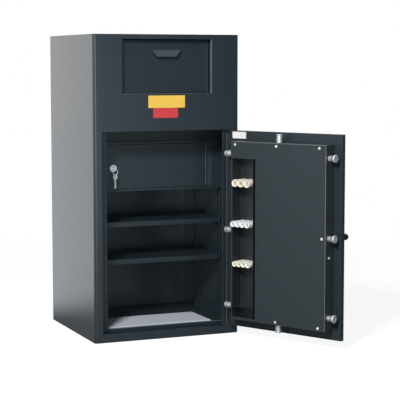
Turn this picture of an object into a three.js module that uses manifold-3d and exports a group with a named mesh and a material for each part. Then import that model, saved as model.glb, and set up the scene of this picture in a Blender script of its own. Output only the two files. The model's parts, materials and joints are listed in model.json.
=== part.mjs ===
// Drop safe with a deposit drawer over an inset door.
// Millimetres, +Z up, front face towards -Y, origin at the middle of the underside.
// The door stands open and the deposit drawer is shut.

import * as THREE from 'three';
import { mergeVertices } from 'three/addons/utils/BufferGeometryUtils.js';
import { ConvexGeometry } from 'three/addons/geometries/ConvexGeometry.js';
import Module from 'manifold-3d';

const wasm = await Module();
wasm.setup();

// Driving dimensions

const seam = 0.3; // gap at a welded or resting seam
const over = 2; // how far a cutting tool runs past the piece that it cuts
const arcSteps = 6; // straight steps in a quarter of a sheet bend
const rodSides = 24;

const body = { width: 517, depth: 476, height: 1016, steel: 6.35, bend: 10 };
const opening = { stile: 28.5, head: 318, sill: 28 };
const mouth = { width: 320, height: 180, lintel: 16, reveal: 22 };
const anchor = { radius: 7, inset: 84 };

const leaf = { gap: 2.5, thick: 15, land: 0.8 };
const swing = { outside: 4.5, behind: 2, angle: 117.8 };
const knuckle = { radius: 6, length: 38, pin: 3, play: 0.4, ends: 70 };
const stopLip = { reach: 22.5, thick: 5 };

const box = { sheet: 2.5, depth: 50, marginFree: 30, marginHinge: 44, marginEnd: 33 };
const bolt = {
  head: 12.7, neck: 9.5, flare: 9, rim: 5, chamfer: 1, tipInset: 5, fromEnd: 75.5, standoff: 29, play: 0.8,
};
const endBolt = { head: 10, neck: 7, flare: 7, rim: 4, chamfer: 1, length: 96 };
const deadPin = { radius: 10, chamfer: 1.5, tipInset: 4 };
const bar = { width: 26, thick: 6, overhang: 20, fromWall: 25 };

const handle = {
  fromEdge: 116, rise: -4.5, hub: 17, reach: 66, arm: 8, length: 75, knob: 11, flange: 24, flangeThick: 5,
};
const spindle = { radius: 8, play: 0.5, cam: 34, camThick: 6, inside: 25 };
const crank = {
  radius: 15.6, pin: 5, play: 0.8, plate: 3, level: 1, fork: 9, rod: 12, past: 1, bridge: 12,
};
const dial = {
  rise: 119, radius: 39, thick: 9, knob: 17, reach: 32, ring: 49, ringThick: 8, play: 1, spindle: 4,
};
const lockCase = { width: 62, height: 86, depth: 29 };

const rack = {
  sheet: 1.5, rim: 5, width: 84.5, slack: 11.5, foot: 8.5, crown: 56.5, low: 36, headroom: 95, shelves: 4,
};
const roll = {
  largeRadius: 12.6, largeLength: 57, mediumRadius: 10.2, mediumLength: 61.5,
  smallRadius: 9.6, smallLength: 54, rim: 2.4, crimp: 1.6, overlap: 0.3,
};
const coinRolls = [
  { name: 'coin_rolls_large', count: 3, radius: roll.largeRadius, length: roll.largeLength },
  { name: 'coin_rolls_medium', count: 4, radius: roll.mediumRadius, length: roll.mediumLength },
  { name: 'coin_rolls_small', count: 4, radius: roll.smallRadius, length: roll.smallLength },
];

const keeper = { thick: 4, reach: 61.5, leg: 40, gap: 2 };
const pan = { height: 33, sheet: 3, front: 66 };
const mat = { thick: 3, left: 45, right: 61.5, front: 75, length: 172 };
const shelf = { sheet: 2, lip: 17, front: 130, fall: 88, below: 105, pitch: 128, count: 2, play: 0.6 };
const post = { width: 19, thick: 3, slot: 4, slotHigh: 12, pitch: 25.4, inset: 20, hook: 12, hookHigh: 6 };

const locker = { drop: 42, height: 167, sheet: 2, face: 3, front: 127 };
const hatch = { stile: 63.35, rail: 8, gap: 1.5, sheet: 2, returnDeep: 8 };
const butt = { radius: 3.4, pin: 1.5, play: 0.3, leafWide: 20, leafThick: 1.4, knuckles: 5, lap: 2 };
const camLock = {
  fromEdge: 40.5, fromTop: 88, bezel: 12, bezelThick: 3.5, bezelStep: 1, body: 9.5, plug: 5.8, play: 0.35,
  slit: 2.2, slitHigh: 8.7,
};
const cam = { thick: 2.5, width: 13, length: 47 };
const key = {
  thick: 2, bow: 9.5, hole: 3.4, holeOut: 4.45, shank: 4, blade: 3.2, bladeLong: 26,
  slotIn: 12, notchTop: 1.1,
};
const notchShares = [0.2, 0.4, 0.6];
const ring = { radius: 9, wire: 0.8, play: 0.6 };
const spare = { turn: 30 };

const headFloor = { rise: 24, hole: 300, holeLong: 92, holeBack: 14 };
const cheek = { sheet: 3, short: 6 };
const track = { wide: 8, thick: 3, front: 42, past: 7.2 };
const chute = { sheet: 3, level: 180, short: 4, toe: 1.5 };
const baffle = { sheet: 3, before: 102, drop: 122, tooth: 24, toothHigh: 16 };
const flap = {
  sheet: 2.5, sideGap: 6, rod: 4, rodPlay: 0.5, fromFront: 60, below: 15, floorGap: 6, hem: 6,
};
const drawer = {
  gap: 3, sheet: 2.5, flange: 14, traySheet: 2, traySide: 10, trayShort: 15.2, side: 105, lip: 8.5,
};
const pull = { wide: 104, narrow: 78, high: 22, out: 18, sheet: 2, below: 35 };
const plate = {
  upperWidth: 130, upperHeight: 41, upperX: -3, lowerWidth: 88, lowerHeight: 33, lowerX: -7,
  drop: 5, thick: 1, corner: 2,
};

// Places worked out from the driving dimensions

const halfWidth = body.width / 2;
const frontY = -body.depth / 2;
const backY = body.depth / 2;
const innerX = halfWidth - body.steel;
const innerBend = body.bend - body.steel;
const wallX = innerX - seam;
const insideFront = frontY + body.steel + seam;
const insideBack = backY - body.steel - seam;
const openHalf = halfWidth - opening.stile;
const openTop = body.height - opening.head;
const mouthHalf = mouth.width / 2;
const mouthTop = body.height - mouth.lintel;
const mouthSill = mouthTop - mouth.height;
const landY = frontY + leaf.thick + leaf.land;
const leafHalf = openHalf - leaf.gap;
const leafBottom = opening.sill + leaf.gap;
const leafTop = openTop - leaf.gap;
const leafInner = frontY + leaf.thick;
const axisX = leafHalf + swing.outside;
const axisY = frontY + swing.behind;
const boxLeft = -leafHalf + box.marginFree;
const boxRight = leafHalf - box.marginHinge;
const boxBottom = leafBottom + box.marginEnd;
const boxTop = leafTop - box.marginEnd;
const coverY = leafInner + box.depth;
const boltY = leafInner + bolt.standoff;
const boltMid = (leafBottom + leafTop) / 2;
const boltHeights = { upper: leafTop - bolt.fromEnd, middle: boltMid, lower: leafBottom + bolt.fromEnd };
const handleX = -leafHalf + handle.fromEdge;
const handleZ = boltMid + handle.rise;
const dialZ = handleZ + dial.rise;
const camBack = leafInner + spindle.inside;
const rackBottom = boxBottom + rack.foot;
const rackTop = boxTop - rack.crown;
const rackPitch = (rackTop - rack.headroom - rackBottom - rack.low) / (rack.shelves - 1);
const headBottom = openTop + headFloor.rise;
const headTop = headBottom + body.steel;
const holeBackY = backY - headFloor.holeBack;
const holeFrontY = holeBackY - headFloor.holeLong;
const baffleY = holeFrontY - baffle.before;
const trayFloor = mouthSill + drawer.gap + drawer.sheet + seam;
const trayFront = frontY + mouth.reveal + drawer.sheet + seam;
const trayBack = baffleY - drawer.trayShort;
const trayHalf = mouthHalf - drawer.traySide;
const trayTop = trayFloor + drawer.side;
const lockerFront = frontY + locker.front;
const lockerTop = openTop - locker.drop;
const lockerBottom = lockerTop - locker.height;
const shelfBackY = backY - shelf.fall;
const shelfTops = Array.from({ length: shelf.count }, (unused, index) =>
  lockerBottom - shelf.below - index * shelf.pitch);
const hatchHalf = wallX - hatch.stile;
const lockX = -hatchHalf + camLock.fromEdge;
const lockZ = lockerTop - camLock.fromTop;
const plates = [
  {
    name: 'upper_plate', width: plate.upperWidth, height: plate.upperHeight, x: plate.upperX,
    colour: 0xf7cb58, top: mouthSill - plate.drop,
  },
  {
    name: 'lower_plate', width: plate.lowerWidth, height: plate.lowerHeight, x: plate.lowerX,
    colour: 0xd64a4a, top: mouthSill - plate.drop - plate.upperHeight - seam,
  },
];

// Materials

function finish(colour, roughness, metalness) {
  return new THREE.MeshStandardMaterial({ color: colour, roughness, metalness });
}

const charcoal = () => finish(0x39434b, 0.45, 0.2);
const innerPaint = () => finish(0x2b3238, 0.6, 0.1);
const steel = () => finish(0xc8cdd2, 0.3, 1);
const darkSteel = () => finish(0x5a5f63, 0.5, 0.9);
const blackPlastic = () => finish(0x101113, 0.4, 0);
const paper = (colour) => finish(colour, 0.85, 0);

// Solids: closed geometries joined and cut

function toSolid(geometry) {
  const bare = geometry.clone();
  bare.deleteAttribute('normal');
  bare.deleteAttribute('uv');
  const merged = mergeVertices(bare, 1e-4);
  return new wasm.Manifold(new wasm.Mesh({
    numProp: 3,
    vertProperties: new Float32Array(merged.attributes.position.array),
    triVerts: new Uint32Array(merged.index.array),
  }));
}

function toGeometry(solid) {
  const mesh = solid.getMesh();
  const geometry = new THREE.BufferGeometry();
  geometry.setAttribute('position', new THREE.BufferAttribute(new Float32Array(mesh.vertProperties), 3));
  geometry.setIndex(new THREE.BufferAttribute(new Uint32Array(mesh.triVerts), 1));
  geometry.computeVertexNormals();
  return geometry;
}

function join(...geometries) {
  return toGeometry(geometries.map(toSolid).reduce((sum, next) => sum.add(next)));
}

function cut(geometry, ...tools) {
  return toGeometry(tools.map(toSolid).reduce((rest, tool) => rest.subtract(tool), toSolid(geometry)));
}

// A block from its lowest and highest corners
function block(x0, x1, y0, y1, z0, z1) {
  const geometry = new THREE.BoxGeometry(x1 - x0, y1 - y0, z1 - z0);
  return geometry.translate((x0 + x1) / 2, (y0 + y1) / 2, (z0 + z1) / 2);
}

// A round bar along Y
function barY(radius, x, y0, y1, z, sides = rodSides) {
  const geometry = new THREE.CylinderGeometry(radius, radius, y1 - y0, sides);
  return geometry.translate(x, (y0 + y1) / 2, z);
}

// A round bar along Z
function barZ(radius, x, y, z0, z1, sides = rodSides) {
  const geometry = new THREE.CylinderGeometry(radius, radius, z1 - z0, sides);
  return geometry.rotateX(Math.PI / 2).translate(x, y, (z0 + z1) / 2);
}

// A round bar along X
function barX(radius, x0, x1, y, z, sides = rodSides) {
  const geometry = new THREE.CylinderGeometry(radius, radius, x1 - x0, sides);
  return geometry.rotateZ(Math.PI / 2).translate((x0 + x1) / 2, y, z);
}

// An outline in X and Y raised along Z
function raised(shape, z0, z1) {
  const options = { depth: z1 - z0, bevelEnabled: false, curveSegments: arcSteps };
  return new THREE.ExtrudeGeometry(shape, options).translate(0, 0, z0);
}

// An outline in Y and Z drawn out along X
function drawnX(points, x0, x1) {
  const shape = new THREE.Shape(points.map(([y, z]) => new THREE.Vector2(y, z)));
  const geometry = new THREE.ExtrudeGeometry(shape, { depth: x1 - x0, bevelEnabled: false });
  const turn = new THREE.Matrix4().set(0, 0, 1, x0, 1, 0, 0, 0, 0, 1, 0, 0, 0, 0, 0, 1);
  return geometry.applyMatrix4(turn);
}

// An outline in X and Z drawn out along Y
function drawnY(points, y0, y1) {
  const shape = new THREE.Shape(points.map(([x, z]) => new THREE.Vector2(x, z)));
  return drawnShapeY(shape, y0, y1);
}

function drawnShapeY(shape, y0, y1) {
  const options = { depth: y1 - y0, bevelEnabled: false, curveSegments: arcSteps };
  const geometry = new THREE.ExtrudeGeometry(shape, options);
  return geometry.rotateX(Math.PI / 2).translate(0, y1, 0);
}

// A rectangle with round corners as a closed outline
function roundedOutline(x0, x1, y0, y1, radius) {
  const shape = new THREE.Shape();
  shape.moveTo(x0 + radius, y0);
  shape.lineTo(x1 - radius, y0);
  shape.absarc(x1 - radius, y0 + radius, radius, -Math.PI / 2, 0);
  shape.lineTo(x1, y1 - radius);
  shape.absarc(x1 - radius, y1 - radius, radius, 0, Math.PI / 2);
  shape.lineTo(x0 + radius, y1);
  shape.absarc(x0 + radius, y1 - radius, radius, Math.PI / 2, Math.PI);
  shape.lineTo(x0, y0 + radius);
  shape.absarc(x0 + radius, y0 + radius, radius, Math.PI, Math.PI * 1.5);
  return shape;
}

// A profile of radius against length, turned about the Z axis
function turned(pairs, sides = rodSides) {
  const points = pairs.map(([radius, along]) => new THREE.Vector2(radius, along));
  return new THREE.LatheGeometry(points, sides).rotateX(Math.PI / 2);
}

// A pan pressed from sheet: a face with a flange round its edge, open to one side of Y
function panGeometry(x0, x1, z0, z1, faceY, deepY, sheet) {
  const low = Math.min(faceY, deepY);
  const high = Math.max(faceY, deepY);
  const outer = block(x0, x1, low, high, z0, z1);
  const faceIsLow = faceY < deepY;
  const innerLow = faceIsLow ? low + sheet : low - over;
  const innerHigh = faceIsLow ? high + over : high - sheet;
  return cut(outer, block(x0 + sheet, x1 - sheet, innerLow, innerHigh, z0 + sheet, z1 - sheet));
}

function mesh(name, geometry, material) {
  const piece = new THREE.Mesh(geometry, material);
  piece.name = name;
  return piece;
}

// Body

// Hinge notch: a bore round the door's axis where a hinge barrel sits in the joint line
function hingeNotch(z0, z1) {
  return barZ(knuckle.radius + 2 * seam, axisX, axisY, z0 - 2 * seam, z1 + 2 * seam);
}

function hingeSpans() {
  const length = knuckle.length;
  const low = leafBottom + knuckle.ends;
  const high = leafTop - knuckle.ends - 2 * length - knuckle.play;
  return { lower: [low, low + 2 * length + knuckle.play], upper: [high, high + 2 * length + knuckle.play] };
}

function hingeNotches() {
  return Object.values(hingeSpans()).map(([z0, z1]) => hingeNotch(z0, z1));
}

// One sheet bent into the front and both sides, with the door opening and the deposit mouth cut out
function bodyWrap() {
  const shape = new THREE.Shape();
  const cornerY = frontY + body.bend;
  const cornerX = halfWidth - body.bend;
  shape.moveTo(-halfWidth, backY);
  shape.lineTo(-halfWidth, cornerY);
  shape.absarc(-cornerX, cornerY, body.bend, Math.PI, Math.PI * 1.5);
  shape.lineTo(cornerX, frontY);
  shape.absarc(cornerX, cornerY, body.bend, -Math.PI / 2, 0);
  shape.lineTo(halfWidth, backY);
  shape.lineTo(innerX, backY);
  shape.lineTo(innerX, cornerY);
  shape.absarc(cornerX, cornerY, innerBend, 0, -Math.PI / 2, true);
  shape.lineTo(-cornerX, frontY + body.steel);
  shape.absarc(-cornerX, cornerY, innerBend, -Math.PI / 2, -Math.PI, true);
  shape.lineTo(-innerX, backY);
  const y0 = frontY - over;
  const y1 = cornerY;
  return cut(
    raised(shape, 0, body.height),
    block(-openHalf, openHalf, y0, y1, opening.sill, openTop),
    block(-mouthHalf, mouthHalf, y0, y1, mouthSill, mouthTop),
    ...hingeNotches(),
  );
}

function endOutline() {
  const bendX = wallX - innerBend;
  const bendY = insideFront + innerBend;
  const shape = new THREE.Shape();
  shape.moveTo(-wallX, backY);
  shape.lineTo(-wallX, bendY);
  shape.absarc(-bendX, bendY, innerBend, Math.PI, Math.PI * 1.5);
  shape.lineTo(bendX, insideFront);
  shape.absarc(bendX, bendY, innerBend, -Math.PI / 2, 0);
  shape.lineTo(wallX, backY);
  return shape;
}

function topPlate() {
  return raised(endOutline(), body.height - body.steel, body.height);
}

function bottomPlate() {
  const places = [-1, 1].flatMap((sx) => [-1, 1].map((sy) => [
    sx * (halfWidth - anchor.inset), sy * (body.depth / 2 - anchor.inset),
  ]));
  const holes = places.map(([x, y]) => barZ(anchor.radius, x, y, -over, body.steel + over));
  return cut(raised(endOutline(), 0, body.steel), ...holes);
}

function backPlate() {
  const z0 = body.steel + seam;
  return block(-wallX, wallX, backY - body.steel, backY, z0, body.height - z0);
}

// Flat bars behind the front make the door jamb, with a stop lip on the hinge side
function doorFrame() {
  const x = innerX - innerBend - seam;
  const z0 = body.steel + seam;
  const z1 = headBottom - seam;
  const lipX = openHalf - stopLip.reach;
  const lipY = landY + stopLip.thick;
  const lipLow = opening.sill - stopLip.thick;
  const lipHigh = openTop + stopLip.thick;
  return cut(
    block(-x, x, insideFront, lipY, z0, z1),
    block(-openHalf, openHalf, insideFront - over, landY, opening.sill, openTop),
    block(-x - over, lipX, landY, lipY + over, z0 - over, z1 + over),
    block(lipX - over, x + over, landY, lipY + over, z0 - over, lipLow),
    block(lipX - over, x + over, landY, lipY + over, lipHigh, z1 + over),
    ...hingeNotches(),
  );
}

// Steel angle inside the free side of the door: it closes the bolt pocket and stops the bolt box
function boltKeeper() {
  const y0 = coverY + keeper.gap;
  const x0 = -wallX;
  const shape = new THREE.Shape();
  shape.moveTo(x0, y0);
  shape.lineTo(x0 + keeper.reach, y0);
  shape.lineTo(x0 + keeper.reach, y0 + keeper.thick);
  shape.lineTo(x0 + keeper.thick, y0 + keeper.thick);
  shape.lineTo(x0 + keeper.thick, y0 + keeper.leg);
  shape.lineTo(x0, y0 + keeper.leg);
  return raised(shape, pan.height + seam, headBottom - seam);
}

// Barrel hinges of the door: a socket with its pin on the frame, and a bored barrel on the leaf
function hingeSocket(z0) {
  const top = z0 + knuckle.length;
  const barrel = barZ(knuckle.radius, axisX, axisY, z0, top);
  return join(barrel, barZ(knuckle.pin, axisX, axisY, top - over, top + knuckle.length - over));
}

function hingeBarrel(z0) {
  const low = z0 + knuckle.length + knuckle.play;
  const high = low + knuckle.length;
  const bore = barZ(knuckle.pin + knuckle.play, axisX, axisY, low - over, high - over);
  return cut(barZ(knuckle.radius, axisX, axisY, low, high), bore);
}

// Door

function doorPlate() {
  const holes = [
    barY(spindle.radius + spindle.play, handleX, frontY - over, leafInner + over, handleZ),
    barY(dial.spindle + spindle.play, handleX, frontY - over, leafInner + over, dialZ),
  ];
  const plate = block(-leafHalf, leafHalf, frontY, leafInner, leafBottom, leafTop);
  return cut(plate, ...holes, ...hingeNotches());
}

// Cover pan over the bolt work, with the coin rack's window and the holes that the bolts pass
function boltBox() {
  const y0 = leafInner + seam;
  const rackX1 = boxRight - rack.rim;
  const windowX = rackX1 - rack.width - rack.slack;
  const sideHole = (z) => barX(bolt.neck + bolt.play, boxLeft - over, boxLeft + box.sheet + over, boltY, z);
  const endHole = (z) => barZ(endBolt.neck + bolt.play, 0, boltY, z - over, z + box.sheet + over);
  return cut(
    panGeometry(boxLeft, boxRight, boxBottom, boxTop, coverY, y0, box.sheet),
    block(windowX, rackX1, coverY - box.sheet - over, coverY + over, rackBottom, rackTop),
    ...Object.values(boltHeights).map(sideHole),
    endHole(boxBottom),
    endHole(boxTop - box.sheet),
  );
}

// Sheet rack let into the bolt box: open pockets with a shelf for each row of coin rolls
function rackShelfTop(index) {
  return rackBottom + rack.low + rackPitch * index;
}

function coinRack() {
  const x1 = boxRight - rack.rim;
  const x0 = x1 - rack.width;
  const t = rack.sheet;
  const back = leafInner + 2 * seam;
  const front = coverY - box.sheet - seam;
  const tops = Array.from({ length: rack.shelves }, (unused, index) => rackShelfTop(index));
  const floors = [rackBottom, ...tops];
  const roofs = [...tops.map((top) => top - t), rackTop];
  const pockets = floors.map((z, index) => block(x0, x1, back + t, front + over, z, roofs[index]));
  return cut(block(x0 - t, x1 + t, back, front, rackBottom - t, rackTop + t), ...pockets);
}

// Paper rolls of coins standing end on in a pocket, crimped at the end that shows
function rollRow(row, pocket) {
  const pitch = 2 * row.radius - roll.overlap;
  const z = rackShelfTop(pocket) + seam + row.radius;
  const x1 = boxRight - rack.rim - rack.width / 2 + pitch * (row.count - 1) / 2;
  const y0 = leafInner + 2 * seam + rack.sheet + seam;
  const y1 = y0 + row.length;
  const places = Array.from({ length: row.count }, (unused, index) => x1 - index * pitch);
  const rolls = join(...places.map((x) => barY(row.radius, x, y0, y1, z)));
  return cut(rolls, ...places.map((x) => barY(row.radius - roll.rim, x, y1 - roll.crimp, y1 + over, z)));
}

// A locking bolt: a slim neck with a flared head at its working end
function boltProfile(size, length) {
  const neckEnd = length - size.rim - size.flare;
  return [
    [0, 0], [size.neck, 0], [size.neck, neckEnd],
    [size.head, length - size.rim], [size.head, length - size.chamfer], [size.head - size.chamfer, length],
    [0, length],
  ];
}

function sideBolt(z) {
  const tip = -leafHalf + bolt.tipInset;
  const root = boxLeft + box.sheet + bar.fromWall - seam;
  const shape = turned(boltProfile(bolt, root - tip));
  return shape.rotateY(-Math.PI / 2).translate(root, boltY, z);
}

// Flat plates behind the cam turn its crank pins' swing into the bolts' slide, each on its own level
function plateLevel(index) {
  const y0 = camBack + crank.level + index * (crank.plate + crank.level);
  return [y0, y0 + crank.plate];
}

function crankPin(index) {
  const angle = -Math.PI / 4 + index * Math.PI / 2;
  return { x: handleX + crank.radius * Math.cos(angle), z: handleZ + crank.radius * Math.sin(angle) };
}

const slotHalf = crank.pin + crank.play;
const pinSweep = crank.radius * (1 - Math.SQRT1_2);

// Bar that carries the side bolts, with a bridge to a fork that hangs over the cam's upper pin
function boltBar() {
  const x0 = boxLeft + box.sheet + bar.fromWall;
  const y0 = boltY - bar.width / 2;
  const { upper, lower } = boltHeights;
  const [levelY0, levelY1] = plateLevel(1);
  const pin = crankPin(1);
  const slotTop = pin.z + pinSweep + crank.pin + crank.past;
  const forkLow = pin.z - slotHalf - crank.past;
  const bridgeTop = slotTop + crank.past + crank.bridge;
  const flatBar = block(x0, x0 + bar.thick, y0, y0 + bar.width, lower - bar.overhang, upper + bar.overhang);
  const bridge = block(x0 + seam, pin.x + crank.fork, levelY0, levelY1, slotTop + crank.past, bridgeTop);
  const fork = block(pin.x - crank.fork, pin.x + crank.fork, levelY0, levelY1, forkLow, bridgeTop);
  const slotLow = forkLow - over;
  const slot = block(pin.x - slotHalf, pin.x + slotHalf, levelY0 - over, levelY1 + over, slotLow, slotTop);
  return cut(join(flatBar, bridge, fork), slot);
}

// Top or bottom bolt: a turned bolt on a flat rod whose arm ends in a fork round a pin of the cam
function endBoltGeometry(up) {
  const side = up ? 1 : -1;
  const pin = crankPin(up ? 0 : 2);
  const [levelY0, levelY1] = plateLevel(up ? 0 : 2);
  const tip = up ? leafTop - bolt.tipInset : leafBottom + bolt.tipInset;
  const root = tip - side * endBolt.length;
  const shape = turned(boltProfile(endBolt, endBolt.length));
  if (!up) shape.rotateX(Math.PI);
  shape.translate(0, boltY, root);
  const rodEnds = [pin.z - side * crank.fork, root + side * over];
  const rodHalf = crank.rod / 2;
  const rod = block(-rodHalf, rodHalf, levelY0, levelY1, Math.min(...rodEnds), Math.max(...rodEnds));
  const slotEnd = up ? pin.x + pinSweep + crank.pin + crank.past : pin.x + crank.pin + crank.past;
  const armEnd = up ? pin.x - slotHalf - crank.past : pin.x - pinSweep - slotHalf - crank.past;
  const arm = block(armEnd, crank.rod / 2, levelY0, levelY1, pin.z - crank.fork, pin.z + crank.fork);
  const slotStart = armEnd - over;
  const slot = block(slotStart, slotEnd, levelY0 - over, levelY1 + over, pin.z - slotHalf, pin.z + slotHalf);
  return cut(join(shape, rod, arm), slot);
}

function deadPinGeometry(z) {
  const length = leafHalf - deadPin.tipInset - boxRight - seam;
  const edge = deadPin.radius - deadPin.chamfer;
  const shape = turned([
    [0, 0], [deadPin.radius, 0], [deadPin.radius, length - deadPin.chamfer], [edge, length], [0, length],
  ]);
  return shape.rotateY(Math.PI / 2).translate(boxRight + seam, boltY, z);
}

// Outside handle: a lever with a ball, on a spindle that carries the bolt cam inside
function doorHandle() {
  const y1 = frontY - seam;
  const armY = frontY - handle.reach;
  const armX = handleX - handle.length;
  return join(
    barY(handle.flange, handleX, y1 - handle.flangeThick, y1, handleZ),
    barY(handle.hub, handleX, armY - handle.arm, y1 - seam, handleZ),
    barX(handle.arm, armX, handleX, armY, handleZ),
    new THREE.SphereGeometry(handle.knob, rodSides, rodSides / 2).translate(armX, armY, handleZ),
  );
}

function handleSpindle() {
  const pins = Array.from({ length: 3 }, (unused, index) => {
    const { x, z } = crankPin(index);
    return barY(crank.pin, x, camBack - crank.level, plateLevel(index)[1], z, rodSides / 2);
  });
  return join(
    barY(spindle.radius, handleX, frontY, camBack, handleZ),
    barY(spindle.cam, handleX, camBack - spindle.camThick, camBack, handleZ, 2 * rodSides),
    ...pins,
  );
}

function lockDial() {
  const y1 = frontY - seam - dial.ringThick / 2;
  const y0 = y1 - dial.thick;
  return join(
    barY(dial.radius, handleX, y0, y1, dialZ, 2 * rodSides),
    barY(dial.knob, handleX, frontY - dial.reach, y0 + over, dialZ),
    barY(dial.spindle, handleX, y1 - over, leafInner - seam, dialZ),
  );
}

function dialRing() {
  const y1 = frontY - seam;
  const y0 = y1 - dial.ringThick;
  const hollow = barY(dial.radius + dial.play, handleX, y0 - over, y1 - 3 * seam, dialZ, 2 * rodSides);
  const eye = barY(dial.spindle + spindle.play, handleX, y1 - over, y1 + over, dialZ);
  return cut(barY(dial.ring, handleX, y0, y1, dialZ, 2 * rodSides), hollow, eye);
}

function lockCaseGeometry() {
  const y0 = leafInner + seam;
  const x0 = handleX - lockCase.width / 2;
  const z0 = dialZ - lockCase.height / 2;
  return block(x0, x0 + lockCase.width, y0, y0 + lockCase.depth, z0, z0 + lockCase.height);
}

// Interior

function floorPan() {
  const y0 = frontY + pan.front;
  const y1 = insideBack;
  const low = body.steel + seam;
  const t = pan.sheet;
  return drawnX([
    [y0, low], [y0 + t, low], [y0 + t, pan.height - t], [y1 - t, pan.height - t],
    [y1 - t, low], [y1, low], [y1, pan.height], [y0, pan.height],
  ], -wallX, wallX);
}

function floorMat() {
  const z0 = pan.height + seam;
  const y0 = frontY + mat.front;
  const outline = roundedOutline(-wallX + mat.left, wallX - mat.right, y0, y0 + mat.length, mat.thick);
  return raised(outline, z0, z0 + mat.thick);
}

// Pressed shelf with its edges turned down
function shelfGeometry(top) {
  const x = wallX - post.thick - shelf.play;
  const y0 = frontY + shelf.front;
  const y1 = shelfBackY;
  const t = shelf.sheet;
  const low = top - shelf.lip;
  const hollow = block(-x + t, x - t, y0 + t, y1 - t, low - over, top - t);
  return cut(block(-x, x, y0, y1, low, top), hollow);
}

// Slotted shelf post on a side wall, with a hook under each shelf
function shelfPost(side, y) {
  const z0 = pan.height + seam;
  const z1 = lockerBottom - seam;
  const xOut = wallX;
  const xIn = wallX - post.thick;
  const half = post.width / 2;
  const count = Math.floor((z1 - z0 - post.slotHigh) / post.pitch);
  const first = (z0 + z1 - (count - 1) * post.pitch) / 2;
  const slots = Array.from({ length: count }, (unused, index) => {
    const z = first + index * post.pitch;
    const high = post.slotHigh / 2;
    return block(xIn - over, xOut + over, y - post.slot / 2, y + post.slot / 2, z - high, z + high);
  });
  const hooks = shelfTops.map((top) => {
    const high = top - shelf.lip - seam;
    return block(xIn - post.hook, xIn + seam, y - half, y + half, high - post.hookHigh, high);
  });
  const strip = cut(block(xIn, xOut, y - half, y + half, z0, z1), ...slots);
  const right = join(strip, ...hooks);
  return side > 0 ? right : mirrored(right);
}

// The same piece for the other side, with its faces turned out again
function mirrored(geometry) {
  return toGeometry(toSolid(geometry).mirror([1, 0, 0]));
}

function lockerCase() {
  const y0 = lockerFront + locker.face + hatch.returnDeep + seam;
  return panGeometry(-wallX, wallX, lockerBottom, lockerTop, shelfBackY, y0, locker.sheet);
}

const hatchLow = lockerBottom + hatch.rail;
const hatchHigh = lockerTop - hatch.rail;

// Face of the locker, with returned edges round the little door's opening
function lockerFace() {
  const y0 = lockerFront;
  const y1 = y0 + locker.face;
  const y2 = y1 + hatch.returnDeep;
  const t = hatch.sheet;
  const face = block(-wallX, wallX, y0, y1, lockerBottom, lockerTop);
  const sleeve = block(-hatchHalf - t, hatchHalf + t, y0 + seam, y2, hatchLow - t, hatchHigh + t);
  return cut(join(face, sleeve), block(-hatchHalf, hatchHalf, y0 - over, y2 + over, hatchLow, hatchHigh));
}

// Butt hinge: knuckles in turn on the locker's face and on its door
const buttAxis = { x: hatchHalf + hatch.gap, y: lockerFront - seam - butt.radius };
const buttLow = hatchLow + butt.lap;
const buttHigh = hatchHigh - butt.lap;

function knuckleSpans(odd) {
  const step = (buttHigh - buttLow) / butt.knuckles;
  const all = Array.from({ length: butt.knuckles }, (unused, index) => [
    buttLow + index * step + butt.play / 2,
    buttLow + (index + 1) * step - butt.play / 2,
  ]);
  return all.filter((unused, index) => index % 2 === (odd ? 1 : 0));
}

function buttLeaf(side, odd) {
  const { x, y } = buttAxis;
  const leafY = lockerFront - seam;
  const inner = x + side * butt.play;
  const outer = x + side * (butt.radius + butt.leafWide);
  const clear = x + side * (butt.radius + butt.play);
  const flat = block(Math.min(clear, outer), Math.max(clear, outer), leafY - butt.leafThick, leafY,
    buttLow, buttHigh);
  const barrels = knuckleSpans(odd).flatMap(([low, high]) => [
    barZ(butt.radius, x, y, low, high, rodSides / 2),
    block(Math.min(inner, clear + side * over), Math.max(inner, clear + side * over),
      leafY - butt.leafThick, leafY, low, high),
  ]);
  return join(flat, ...barrels);
}

function lockerHinge() {
  const { x, y } = buttAxis;
  return join(buttLeaf(1, false), barZ(butt.pin, x, y, buttLow, buttHigh, rodSides / 2));
}

function lockerDoor() {
  const gap = hatch.gap;
  const x = hatchHalf - gap;
  const z0 = hatchLow + gap;
  const z1 = hatchHigh - gap;
  const y1 = lockerFront + locker.face + hatch.returnDeep - gap;
  const panel = panGeometry(-x, x, z0, z1, lockerFront, y1, hatch.sheet);
  const weld = block(x - butt.leafWide, x, lockerFront - seam - butt.leafThick / 2, lockerFront + seam,
    z0 + butt.leafWide, z1 - butt.leafWide);
  const lockHole = barY(camLock.body + camLock.play, lockX, lockerFront - over, y1, lockZ);
  const bore = barZ(butt.pin + butt.play, buttAxis.x, buttAxis.y, z0 - over, z1 + over, rodSides / 2);
  return cut(join(panel, weld, buttLeaf(-1, true)), lockHole, bore);
}

// Cam lock of the locker
const lockFaceY = lockerFront - seam - camLock.bezelThick;
const camY = lockerFront + locker.face + hatch.returnDeep + 2 * seam;

function lockBarrel() {
  const bore = barY(camLock.plug + camLock.play, lockX, lockFaceY - over, camY + over, lockZ);
  return cut(join(
    barY(camLock.bezel, lockX, lockFaceY, lockerFront - seam, lockZ),
    barY(camLock.body, lockX, lockFaceY + camLock.bezelStep, camY - seam, lockZ),
  ), bore);
}

function lockPlug() {
  const half = camLock.slit / 2;
  const high = camLock.slitHigh / 2;
  const slitBack = lockFaceY + key.slotIn + seam;
  const slit = block(lockX - half - seam, lockX + half + seam, lockFaceY - over, slitBack, lockZ - high,
    lockZ + high);
  return cut(barY(camLock.plug, lockX, lockFaceY, camY - seam, lockZ), slit);
}

function lockCam() {
  const half = cam.width / 2;
  const tail = block(lockX - half, lockX + half, camY, camY + cam.thick, lockZ - cam.length, lockZ);
  return join(tail, barY(half, lockX, camY, camY + cam.thick, lockZ));
}

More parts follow.
